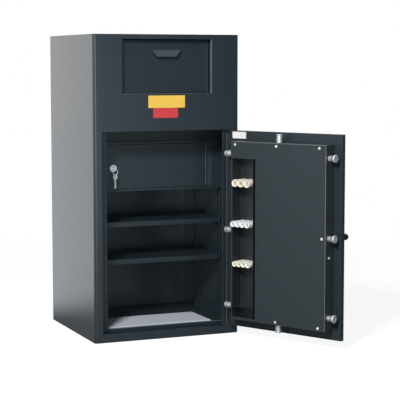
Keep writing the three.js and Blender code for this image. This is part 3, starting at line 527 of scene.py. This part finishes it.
def paper_tube(mesh, place, radius, inner, length):
    """Paper round a stack of coins: a ripple at each coin and a lip rolled in at both ends."""
    lip, level = ROLL_LIP, length - ROLL_WELL
    coin_step, swell, first = 0.0022, 0.00012, 0.003
    ripples = []
    for coin in range(int((length - 2 * first) / coin_step)):
        height = first + coin * coin_step
        ripples += [(radius - swell, height), (radius, height + coin_step / 2)]
    crimp = [(inner - 0.0003, level), (inner * 0.72, level - 0.0002), (inner * 0.7, level - 0.0004)]
    turned(mesh, [
        (0, lip), (inner, lip), *arc(radius - lip, lip, lip, 180, 360, 8), *ripples,
        *arc(radius - lip, length - lip, lip, 0, 180, 10), *crimp,
    ], place, ROLL_STEPS)


def end_coin(mesh, place, inner, level):
    """The last coin, with its raised rim, inside the crimped end."""
    edge, rim, field = inner * 0.74, inner * 0.66, inner * 0.6
    thick, rise, sink = 0.0012, 0.0002, 0.0001
    turned(mesh, [
        (0, level - thick), (edge, level - thick), (edge, level - sink), (rim, level + rise),
        (field, level - sink), (0, level - sink),
    ], place, ROLL_STEPS, 1)


def make_rolls():
    slack = 0.00005
    for size in ("large", "medium", "small"):
        node = f"coin_rolls_{size}"
        low, high = span(node, SHUT)
        wide, length, tall = high.x - low.x, high.y - low.y, high.z - low.z
        count = round(wide / tall)
        pitch = (wide - tall) / (count - 1)
        radius = min(tall, pitch) / 2 - slack
        inner = radius - 2 * ROLL_LIP
        mesh = bmesh.new()
        for index in range(count):
            place = at(low.x + tall / 2 + index * pitch, low.y, (low.z + high.z) / 2, TO_BACK)
            paper_tube(mesh, place, radius, inner, length)
            end_coin(mesh, place, inner, length - ROLL_WELL)
        piece(f"{node}_wrapped", mesh, [f"paper_{size}", "coin"], "door", OPENED, [node])


# Screws with a domed head and a cross recess
def screw_head(mesh, place, radius, height, steps=32, rings=9):
    """A pan head standing on the face at the origin of place."""
    arm, reach, depth = radius * 0.16, radius * 0.62, height * 0.6
    dome_drop, slope, crown, skirt = 0.35, 0.5, 0.94, 0.42

    def level(x, y):
        r = math.hypot(x, y)
        dome = height * (1.0 - dome_drop * (r / radius) ** 2)
        inside = (abs(x) < arm and abs(y) < reach) or (abs(y) < arm and abs(x) < reach)
        return dome - (depth * (1.0 - slope * r / reach) if inside else 0.0)

    def ring(r, z=None):
        angles = [2 * math.pi * (index + 0.5) / steps for index in range(steps)]
        return [
            mesh.verts.new(place @ Vector((
                r * math.cos(a), r * math.sin(a),
                level(r * math.cos(a), r * math.sin(a)) if z is None else z,
            )))
            for a in angles
        ]

    shares = [(index + 1) / rings for index in range(rings)]
    tops = [ring(radius * share * crown) for share in shares]
    loops = [*tops, ring(radius, height * skirt), ring(radius, 0.0)]
    centre = mesh.verts.new(place @ Vector((0, 0, level(0, 0))))
    base = mesh.verts.new(place @ Vector((0, 0, 0)))
    for index in range(steps):
        after = (index + 1) % steps
        mesh.faces.new((centre, tops[0][index], tops[0][after]))
        for inner, outer in zip(loops, loops[1:]):
            mesh.faces.new((inner[index], outer[index], outer[after], inner[after]))
        mesh.faces.new((base, loops[-1][after], loops[-1][index]))


def make_screws():
    """Six screws in the cover's face and one in its free side wall."""
    low, high = span("bolt_box", SHUT)
    bolt = middle("side_bolt_middle", SHUT)
    top, foot, wall_z = high.z - 0.0105, low.z + 0.0095, low.z + 0.2375
    hinge_side, middle_top, middle_foot = high.x - 0.0175, -0.003, -0.002
    free_top, free_middle, free_foot = low.x + 0.025, low.x + 0.0135, low.x + 0.026
    spots = [
        (hinge_side, top), (middle_top, top), (free_top, top),
        (free_middle, bolt.z), (middle_foot, foot), (free_foot, foot),
    ]
    radius, height, lean = 0.0046, 0.0026, 0.5
    wall_radius, wall_height = 0.0042, 0.0024
    mesh = bmesh.new()
    for index, (x, z) in enumerate(spots):
        spin = Matrix.Rotation(lean * index, 4, "Z")
        screw_head(mesh, at(x, high.y, z, TO_BACK @ spin), radius, height)
    screw_head(mesh, at(low.x, bolt.y, wall_z, TO_LEFT), wall_radius, wall_height)
    piece("cover_screws", mesh, ["key"], "door", OPENED)


# Outside handle: turned steel boss and lever with a black ball
BALL_RADIUS = 0.011
BOSS_FOOT = [(0, 0), (0.0235, 0), (0.024, 0.0006), (0.024, 0.0032)]
BOSS_NECK = [
    (0.0185, 0.0052), (0.0168, 0.0062), (0.0158, 0.012), (0.0142, 0.022), (0.0135, 0.038),
    (0.0142, 0.05), (0.0162, 0.056), (0.0168, 0.0585),
]
LEVER = [
    (0, 0.008), (0.0078, 0.008), (0.0078, 0.016), (0.0074, 0.022), (0.0062, 0.04), (0.0056, 0.054),
    (0.0058, 0.0585), (0.007, 0.0595), (0.0072, 0.0615), (0.0066, 0.0632), (0.0052, 0.064), (0, 0.0645),
]


def boss_outline(length):
    """Base disc, waisted neck and a cap with a rounded edge."""
    cap, round_off = 0.0168, 0.003
    return [
        *BOSS_FOOT, *arc(0.0222, 0.0032, 0.0018, 0, 80, 4), *BOSS_NECK, (cap, length - round_off),
        *arc(cap - round_off, length - round_off, round_off, 0, 90, 6), (0.006, length + 0.0002),
        (0.0054, length - 0.001), (0, length - 0.0012),
    ]


def base_screws(mesh, hub, back):
    screws, first, ring, lift, radius, height = 3, 30, 0.0202, 0.0049, 0.0017, 0.0008
    for index in range(screws):
        angle = math.radians(first + 360 * index / screws)
        x = hub.x + ring * math.cos(angle)
        z = hub.z + ring * math.sin(angle)
        screw_head(mesh, at(x, back - lift, z, TO_FRONT), radius, height, steps=20, rings=5)


def make_handle():
    low, high = span("door_handle", SHUT)
    hub = middle("handle_spindle", SHUT)
    past_arm, steps = 0.0078, 64
    back = high.y
    arm_y = low.y + BALL_RADIUS
    mesh = bmesh.new()
    turned(mesh, boss_outline(back - arm_y + past_arm), at(hub.x, back, hub.z, TO_FRONT), steps)
    turned(mesh, LEVER, at(hub.x, arm_y, hub.z, TO_LEFT))
    base_screws(mesh, hub, back)
    piece("handle_lever", mesh, ["steel"], "handle", OPENED, ["door_handle"])
    make_ball(at(hub.x, arm_y, hub.z, TO_LEFT), hub.x - low.x - BALL_RADIUS)


def make_ball(place, reach):
    """Ball with a short collar, its centre this far from the hub."""
    mesh = bmesh.new()
    turned(mesh, [
        (0, reach - 0.0117), (0.0048, reach - 0.0117), (0.0055, reach - 0.0111), (0.0055, reach - 0.0098),
        *arc(0, reach, BALL_RADIUS, -61, 90, 18),
    ], place)
    piece("handle_ball", mesh, ["black"], "handle", OPENED)


# Lock dial: bevelled rim, fluted knob, a hundred marks and a number at every tenth
DIAL_FACE = 0.009
NUMERAL_DEPTH = 0.00012


def numeral(mesh, text, size, place, look):
    """Plain figures, centred on the origin of place and standing out from it."""
    curve = bpy.data.curves.new("numeral", "FONT")
    curve.body = text
    curve.size = size
    curve.align_x = "CENTER"
    curve.align_y = "CENTER"
    curve.extrude = NUMERAL_DEPTH
    obj = bpy.data.objects.new("numeral", curve)
    flat = obj.to_mesh()
    flat.transform(place)
    before = len(mesh.faces)
    mesh.from_mesh(flat)
    mesh.faces.ensure_lookup_table()
    for face in mesh.faces[before:]:
        face.material_index = look
    obj.to_mesh_clear()
    bpy.data.objects.remove(obj)
    bpy.data.curves.remove(curve)


def dial_outline(radius, inner, out):
    """Stub behind the ring, bevelled rim, face with a groove, and a knob with a rounded crown."""
    face, round_off = DIAL_FACE, 0.0016
    stub = [(0, -inner), (0.004, -inner), (0.004, 0)]
    rim = [
        (radius - 0.001, 0), (radius, 0.001), (radius, 0.0022), (radius, 0.0058),
        *arc(radius - round_off, 0.0058, round_off, 10, 80, 4), (radius - 0.002, face - 0.0015),
    ]
    groove = [
        (0.0285, face - 0.0005), (0.0205, face - 0.0001), (0.0195, face - 0.0009), (0.0185, face - 0.0009),
    ]
    knob = [
        (0.0165, face), (0.0162, face + 0.002), (0.0168, face + 0.003), (0.017, face + 0.006),
        (0.017, out - 0.004), (0.0164, out - round_off),
        *arc(0.0146, out - round_off, round_off, 20, 90, 4),
        (0.0125, out), (0.0118, out - 0.0008), (0, out - 0.0008),
    ]
    return [*stub, *rim, *groove, *knob]


def dial_marks(mesh, body, radius):
    """Short marks, longer ones at the fives and tens, and a number at each ten."""
    marks, tens, fives = 100, 10, 5
    outer, foot, top = radius - 0.0022, DIAL_FACE - 0.002, DIAL_FACE - 0.0009
    figure_size, figure_in, figure_foot = 0.0058, 0.0082, DIAL_FACE - 0.0006
    for index in range(marks):
        spin = Matrix.Rotation(-2 * math.pi * index / marks, 4, "Z")
        length = 0.0042 if index % tens == 0 else 0.003 if index % fives == 0 else 0.002
        wide = 0.00028 if index % fives == 0 else 0.00018
        outline = [(-wide, outer - length), (wide, outer - length), (wide, outer), (-wide, outer)]
        prism(mesh, outline, foot, top, body @ spin, 1)
        if index % tens == 0:
            spot = Matrix.Translation((0, outer - figure_in, figure_foot))
            numeral(mesh, str(index), figure_size, body @ spin @ spot, 1)


def make_dial():
    low, high = span("lock_dial", SHUT)
    ring_low, ring_high = span("dial_ring", SHUT)
    centre = (low + high) / 2
    radius = (high.x - low.x) / 2
    back = (ring_low.y + ring_high.y) / 2
    out = back - low.y
    steps, flutes, cut, grip = 240, 40, 0.0009, (DIAL_FACE + 0.0025, out - 0.0035)
    body = at(centre.x, back, centre.z, TO_FRONT)
    mesh = bmesh.new()
    turned(mesh, dial_outline(radius, high.y - back, out), body, steps, 0, flutes, cut, grip)
    dial_marks(mesh, body, radius)
    pointer = [(-0.0006, 0.006), (0.0006, 0.006), (0.0006, 0.0112), (-0.0006, 0.0112)]
    prism(mesh, pointer, out - 0.0009, out - 0.0004, body, 1)
    piece("dial_face", mesh, ["black", "white"], "dial", OPENED, ["lock_dial"])
    make_dial_index(at(centre.x, ring_low.y, centre.z, TO_FRONT), radius)


def make_dial_index(ring, radius):
    """White pointer on the dial ring, and the ring's two screws."""
    wide, near, far, thick = 0.0016, 0.0022, 0.0075, 0.0004
    screw_at, sink, screw_radius, screw_height = radius + 0.0055, 0.0011, 0.0022, 0.0011
    mesh = bmesh.new()
    prism(mesh, [(-wide, radius + far), (0.0, radius + near), (wide, radius + far)], -thick, 0.0, ring, 1)
    for angle in (0.0, math.pi):
        spot = (screw_at * math.cos(angle), screw_at * math.sin(angle), -sink)
        screw_head(mesh, ring @ Matrix.Translation(spot), screw_radius, screw_height, steps=24, rings=6)
    piece("dial_index", mesh, ["nickel", "white"], "door", OPENED)


# Hood shaped finger pull of the drawer: thin sheet, wide at its root and narrow at its lip
def make_pull():
    low, high = span("drawer_pull")
    root, lip, lip_spread = (high.x - low.x) / 2, 0.034, 0.003
    across, down, sheet, stand, merge = 20, 10, 0.0015, 0.62, 1e-5
    mesh = bmesh.new()
    rows = []
    levels = [(0.0, 0.0)] + [(step / down, stand + (1.0 - stand) * step / down) for step in range(down + 1)]
    for v, bend in levels:
        half = root + (lip - root) * v
        y = high.y + (low.y - high.y) * bend
        z = high.z + (low.z - high.z) * v
        back_half = root + (lip + lip_spread - root) * v
        row = [mesh.verts.new((-back_half, high.y, z))]
        row += [mesh.verts.new((half * (2 * i / across - 1), y, z)) for i in range(across + 1)]
        row += [mesh.verts.new((back_half, high.y, z))]
        rows.append(row)
    for first, second in zip(rows, rows[1:]):
        for index in range(len(first) - 1):
            mesh.faces.new((first[index], first[index + 1], second[index + 1], second[index]))
    bmesh.ops.remove_doubles(mesh, verts=mesh.verts[:], dist=merge)
    bmesh.ops.recalc_face_normals(mesh, faces=mesh.faces)
    bmesh.ops.solidify(mesh, geom=mesh.faces[:], thickness=sheet)
    # The pull's lighter paint is painted light on its upward-facing hood
    piece("finger_pull", mesh, ["pull"], "drawer", AS_BUILT, ["drawer_pull"])


# Lining of the drawer's opening: folded strips with a rounded front; the right and sill strips take the
# lighter edge paint, a painted highlight along the opening's edges
def lining_outline(front, back, thick, steps=6):
    """Section of a strip, (distance from the wall, Y), with a half round front."""
    half = thick / 2
    angles = [math.pi * index / steps for index in range(steps + 1)]
    nose = [(half + half * math.cos(a), front + half - half * math.sin(a)) for a in angles]
    return [(0.0, back), (thick, back), *nose]


def make_lining():
    sill, head, side = 0.820, 1.000, 0.160
    outline = lining_outline(-0.2386, -0.2255, 0.0014)
    strips = [
        # These two strips take the lighter paint: a painted highlight along the opening's right side and sill
        ("right", "painted_highlight", (side, sill), (side, head), (-1, 0)),
        ("sill", "painted_highlight", (-side, sill), (side, sill), (0, 1)),
        ("left", "shell", (-side, sill), (-side, head), (1, 0)),
    ]
    for name, look, start, end, inward in strips:
        mesh = bmesh.new()
        ends = [
            [mesh.verts.new((x + inward[0] * off, y, z + inward[1] * off)) for off, y in outline]
            for x, z in (start, end)
        ]
        for level in ends:
            mesh.faces.new(level)
        for index in range(len(outline)):
            after = (index + 1) % len(outline)
            mesh.faces.new((ends[0][index], ends[0][after], ends[1][after], ends[1][index]))
        piece(f"mouth_lining_{name}", mesh, [look], "safe")


# Light lines along folded edges: round beads laid into the edges, in lighter paint that is a painted
# highlight for the light the edges catch
def bead(mesh, start, end, radius):
    """A round strip between two points, with closed and chamfered ends."""
    steps, chamfer, nose = 12, radius * 0.3, radius * 0.7
    reach = Vector(end) - Vector(start)
    turn = reach.normalized().to_track_quat("Z", "Y").to_matrix().to_4x4()
    length = reach.length
    turned(mesh, [
        (0, 0), (nose, 0), (radius, chamfer), (radius, length - chamfer), (nose, length), (0, length),
    ], Matrix.Translation(start) @ turn, steps)


def make_cover_edge():
    """Along the top and down the free side of the bolt cover."""
    low, high = span("bolt_box", SHUT)
    radius, bury = 0.0013, 0.0009
    y, top, side = high.y - bury, high.z - bury, low.x + bury
    mesh = bmesh.new()
    bead(mesh, (side, y, top), (high.x - bury, y, top), radius)
    bead(mesh, (side, y, low.z + bury), (side, y, top), radius)
    # The bead's lighter paint is a painted highlight along the cover's edges
    piece("cover_edge", mesh, ["painted_highlight"], "door", OPENED)


def make_front_edge(node, inset):
    """Along the top front edge of a node, its ends this far in from the node's sides."""
    low, high = span(node)
    radius, bury = 0.001, 0.0007
    y, z = low.y + bury, high.z - bury
    mesh = bmesh.new()
    bead(mesh, (low.x + inset, y, z), (high.x - inset, y, z), radius)
    # The bead's lighter paint is a painted highlight along the top front edge
    piece(f"{node}_edge", mesh, ["painted_highlight"], "safe")


def make_keeper_edge():
    low, high = span("bolt_keeper")
    radius, bury, inset = 0.0018, 0.001, 0.0045
    mesh = bmesh.new()
    bead(mesh, (high.x - inset, low.y + bury, low.z), (high.x - inset, low.y + bury, high.z), radius)
    # The bead's lighter paint is a painted highlight down the keeper's edge
    piece("keeper_edge", mesh, ["painted_highlight"], "safe")


def make_lip_lines():
    """Down the free edge of the jamb's stop lip, and down the seam between the lip and its bar."""
    lip_y, foot, head = -0.2222, 0.0285, 0.6975
    # Both beads take lighter paint: painted highlights down the lip's free edge and its seam
    for name, x, bury, radius, look in (
        ("stop_lip_edge", 0.2066, 0.0008, 0.001, "hinge"),
        ("stop_lip_seam", 0.2227, 0.0007, 0.0012, "painted_highlight"),
    ):
        mesh = bmesh.new()
        bead(mesh, (x, lip_y + bury, foot), (x, lip_y + bury, head), radius)
        piece(name, mesh, [look], "safe")


# Folded strip that closes the gap between the locker and the head floor
def make_fascia():
    face_low, face_high = span("locker_face")
    foot, head = span("locker_case")[1].z, span("head_floor")[0].z
    behind_face, sheet, flange, slack, fold = 0.002, 0.0015, 0.016, 0.0006, 0.0012
    corner = 0.35 * fold
    front = face_low.y + behind_face
    back = front + sheet
    outline = [
        (front, head - slack), (front, foot + fold), (front + corner, foot + corner), (front + fold, foot),
        (front + flange, foot), (front + flange, foot + sheet), (back, foot + sheet), (back, head - slack),
    ]
    upright = Matrix(((0, 0, 1, 0), (1, 0, 0, 0), (0, 1, 0, 0), (0, 0, 0, 1)))
    mesh = bmesh.new()
    prism(mesh, outline, face_low.x, face_high.x, upright)
    piece("locker_fascia", mesh, ["inner"], "safe")


# Bare white card on the inner face of the leaf
def make_card():
    leaf_high = span("door_plate", SHUT)[1]
    wide, high, thick, radius, steps = 0.057, 0.0225, 0.0003, 0.002, 4
    right, top = leaf_high.x - 0.012, leaf_high.z - 0.0035
    corners = [
        (right - radius, top - radius, 0), (right - wide + radius, top - radius, 90),
        (right - wide + radius, top - high + radius, 180), (right - radius, top - high + radius, 270),
    ]
    outline = [point for x, z, start in corners for point in arc(x, z, radius, start, start + 90, steps)]
    mesh = bmesh.new()
    near = [mesh.verts.new((x, leaf_high.y, z)) for x, z in outline]
    far = [mesh.verts.new((x, leaf_high.y + thick, z)) for x, z in outline]
    mesh.faces.new(near)
    mesh.faces.new(far)
    for index in range(len(outline)):
        after = (index + 1) % len(outline)
        mesh.faces.new((near[index], near[after], far[after], far[index]))
    piece("blank_card", mesh, ["card"], "door", OPENED)


# Felt mat on the floor pan: soft edges and a slight wave
def mat_level(low, high, x, y):
    """Height of the felt: a slow wave, rounded off toward the edges."""
    soft, edge_drop, flat_share, wave_share = 0.004, 0.8, 0.72, 0.26
    long_wave = math.sin(19.0 * x + 4.0 * y)
    short_wave = math.sin(31.0 * y - 11.0 * x + 1.3)
    wave = 0.5 + 0.25 * long_wave + 0.25 * short_wave
    fade = min(1.0, min(x - low.x, high.x - x, y - low.y, high.y - y) / soft)
    rounded = math.sqrt(1.0 - (1.0 - fade) ** 2 * edge_drop)
    return low.z + (high.z - low.z) * (flat_share + wave_share * wave) * rounded


def eased(first, last, count):
    """Places from first to last, closer together toward both ends."""
    shares = [0.5 - 0.5 * math.cos(math.pi * index / count) for index in range(count + 1)]
    return [first + share * (last - first) for share in shares]


def make_mat():
    low, high = span("floor_mat")
    across, along = 60, 30
    mesh = bmesh.new()
    top, bottom = [], []
    for x in eased(low.x, high.x, across):
        top.append([])
        bottom.append([])
        for y in eased(low.y, high.y, along):
            top[-1].append(mesh.verts.new((x, y, mat_level(low, high, x, y))))
            bottom[-1].append(mesh.verts.new((x, y, low.z)))
    for i in range(across):
        for j in range(along):
            mesh.faces.new((top[i][j], top[i + 1][j], top[i + 1][j + 1], top[i][j + 1]))
            mesh.faces.new((bottom[i][j], bottom[i][j + 1], bottom[i + 1][j + 1], bottom[i + 1][j]))
    for i in range(across):
        for j in (0, along):
            mesh.faces.new((bottom[i][j], bottom[i + 1][j], top[i + 1][j], top[i][j]))
    for j in range(along):
        for i in (0, across):
            mesh.faces.new((bottom[i][j], bottom[i][j + 1], top[i][j + 1], top[i][j]))
    piece("floor_mat_felt", mesh, ["felt"], "safe", AS_BUILT, ["floor_mat"])


# Studio: pale floor, white surroundings, grey cards that the paint mirrors, and soft lamps
def background(tree, colour, strength):
    node = tree.nodes.new("ShaderNodeBackground")
    node.inputs["Color"].default_value = (*colour, 1.0)
    node.inputs["Strength"].default_value = strength
    return node.outputs["Background"]


def world_light():
    """White where the camera, a mirroring or a clear surface looks, and a weak light for the rest."""
    scene.view_settings.view_transform = "Standard"
    world = bpy.data.worlds.new("studio")
    scene.world = world
    world.use_nodes = True
    tree = world.node_tree
    tree.nodes.clear()
    out = tree.nodes.new("ShaderNodeOutputWorld")
    path = tree.nodes.new("ShaderNodeLightPath")
    seen = path.outputs["Is Camera Ray"]
    for ray in ("Is Glossy Ray", "Is Transmission Ray"):
        either = tree.nodes.new("ShaderNodeMath")
        either.operation = "MAXIMUM"
        tree.links.new(seen, either.inputs[0])
        tree.links.new(path.outputs[ray], either.inputs[1])
        seen = either.outputs["Value"]
    mix = tree.nodes.new("ShaderNodeMixShader")
    tree.links.new(seen, mix.inputs["Fac"])
    tree.links.new(background(tree, (0.95, 0.98, 1.0), 0.08), mix.inputs[1])
    tree.links.new(background(tree, (1.0, 1.0, 1.0), 1.0), mix.inputs[2])
    tree.links.new(mix.outputs["Shader"], out.inputs["Surface"])


def floor_near(m, rays):
    """Pale and matt, so that it keeps the object's shadow, and lifted toward white for the camera."""
    tint = m.tint(m.spread(m.noise(1.5), 0.0, 1.0), (0.24, 0.24, 0.24), (0.26, 0.26, 0.26))
    diffuse = m.add("ShaderNodeBsdfDiffuse")
    m.link(tint, diffuse.inputs["Color"])
    lift = m.add("ShaderNodeEmission")
    lift.inputs["Color"].default_value = (1.0, 1.0, 1.0, 1.0)
    strength = m.add("ShaderNodeMath", operation="MULTIPLY")
    strength.inputs[1].default_value = 0.9
    m.link(rays.outputs["Is Camera Ray"], strength.inputs[0])
    m.link(strength.outputs["Value"], lift.inputs["Strength"])
    near = m.add("ShaderNodeAddShader")
    m.link(diffuse.outputs["BSDF"], near.inputs[0])
    m.link(lift.outputs["Emission"], near.inputs[1])
    return near.outputs["Shader"]


def floor_far(m, rays):
    """White, slightly cooler where the paint mirrors it."""
    far = m.add("ShaderNodeEmission")
    far.inputs["Strength"].default_value = 1.0
    cool = m.tint(rays.outputs["Is Glossy Ray"], (1.0, 1.0, 1.0), (0.9, 0.96, 1.0))
    m.link(cool, far.inputs["Color"])
    return far.outputs["Emission"]


def floor_look(reach, behind):
    """Floor that runs out into white beyond its reach, and behind the object for what the paint mirrors."""
    m = Nodes("floor")
    rays = m.add("ShaderNodeLightPath")
    length = m.add("ShaderNodeVectorMath", operation="LENGTH")
    m.link(m.where, length.inputs[0])
    around = m.product(m.spread(length.outputs["Value"], 0.0, 1.0, *reach), rays.outputs["Is Camera Ray"])
    axes = m.add("ShaderNodeSeparateXYZ")
    m.link(m.where, axes.inputs[0])
    back = m.product(m.spread(axes.outputs["Y"], 0.0, 1.0, *behind), rays.outputs["Is Glossy Ray"])
    both = m.add("ShaderNodeMath", operation="MAXIMUM")
    m.link(around, both.inputs[0])
    m.link(back, both.inputs[1])
    mix = m.add("ShaderNodeMixShader")
    m.link(both.outputs["Value"], mix.inputs["Fac"])
    m.link(floor_near(m, rays), mix.inputs[1])
    m.link(floor_far(m, rays), mix.inputs[2])
    m.link(mix.outputs["Shader"], m.out.inputs["Surface"])
    return m.material


def flat_stage(name, corners, material):
    mesh = bpy.data.meshes.new(name)
    mesh.from_pydata(corners, [], [tuple(range(len(corners)))])
    mesh.materials.append(material)
    obj = bpy.data.objects.new(name, mesh)
    scene.collection.objects.link(obj)
    return obj


def card_look():
    """Grey of the cards that the paint mirrors and the camera doesn't see."""
    m = Nodes("studio_card")
    tint = m.tint(m.spread(m.noise(2.0), 0.0, 1.0), (0.40, 0.43, 0.45), (0.44, 0.47, 0.49))
    diffuse = m.add("ShaderNodeBsdfDiffuse")
    m.link(tint, diffuse.inputs["Color"])
    m.link(diffuse.outputs["BSDF"], m.out.inputs["Surface"])
    return m.material


def lamp(name, place, aim, size, power, tall=None, colour=(1.0, 1.0, 1.0)):
    """A soft lamp: round, or a panel where its height is given."""
    data = bpy.data.lights.new(name, "AREA")
    data.shape = "DISK" if tall is None else "RECTANGLE"
    data.size = size
    if tall is not None:
        data.size_y = tall
    data.energy = power
    data.color = colour
    obj = bpy.data.objects.new(name, data)
    obj.location = place
    obj.rotation_euler = (Vector(aim) - Vector(place)).to_track_quat("-Z", "Y").to_euler()
    scene.collection.objects.link(obj)


def make_floor():
    half, below, reach, behind = 9.0, 0.0004, (1.3, 2.6), (0.25, 0.65)
    corners = [(-half, -half, 0), (half, -half, 0), (half, half, 0), (-half, half, 0)]
    floor = flat_stage("floor", corners, floor_look(reach, behind))
    floor.location.z = -below


def make_cards():
    grey = card_look()
    high, front_y, left_x, right_x, far_x, right_y, left_y = 5.0, -6.0, -3.8, 5.0, 6.0, 0.5, 1.6
    for name, x0, y0, x1, y1 in (
        ("card_front", left_x, front_y, right_x, front_y),
        ("card_right", right_x, front_y, far_x, right_y),
        ("card_left", left_x, front_y, left_x, left_y),
    ):
        card = flat_stage(name, [(x0, y0, 0), (x1, y1, 0), (x1, y1, high), (x0, y0, high)], grey)
        card.visible_camera = False


def make_lamps():
    lamp("key", (-2.12, -2.95, 2.66), (0.0, -0.24, 0.6), size=0.7, power=160.0)
    lamp("fill", (-1.3, -4.7, 0.8), (0.0, -0.24, 0.4), size=1.8, power=33.0, colour=(0.78, 0.94, 1.0))
    lamp("panel_front", (0.08, -4.7, 0.4), (0.08, -0.24, 0.4), size=2.6, power=10.0, tall=0.7,
         colour=(0.72, 0.86, 1.0))
    lamp("panel_left", (-3.2, 0.0, 0.7), (0.3, -0.3, 0.4), size=3.0, power=9.0, tall=1.2)


make_camera()
world_light()
make_floor()
make_cards()
make_lamps()
dress_nodes()
make_side_bolts()
make_sleeves()
make_dead_pins()
make_rolls()
make_screws()
make_handle()
make_dial()
make_pull()
make_lining()
make_cover_edge()
make_front_edge("locker_case", 0.0007)
make_front_edge("floor_pan", 0.0)
make_keeper_edge()
make_lip_lines()
make_fascia()
make_card()
make_mat()

bpy.context.view_layer.update()
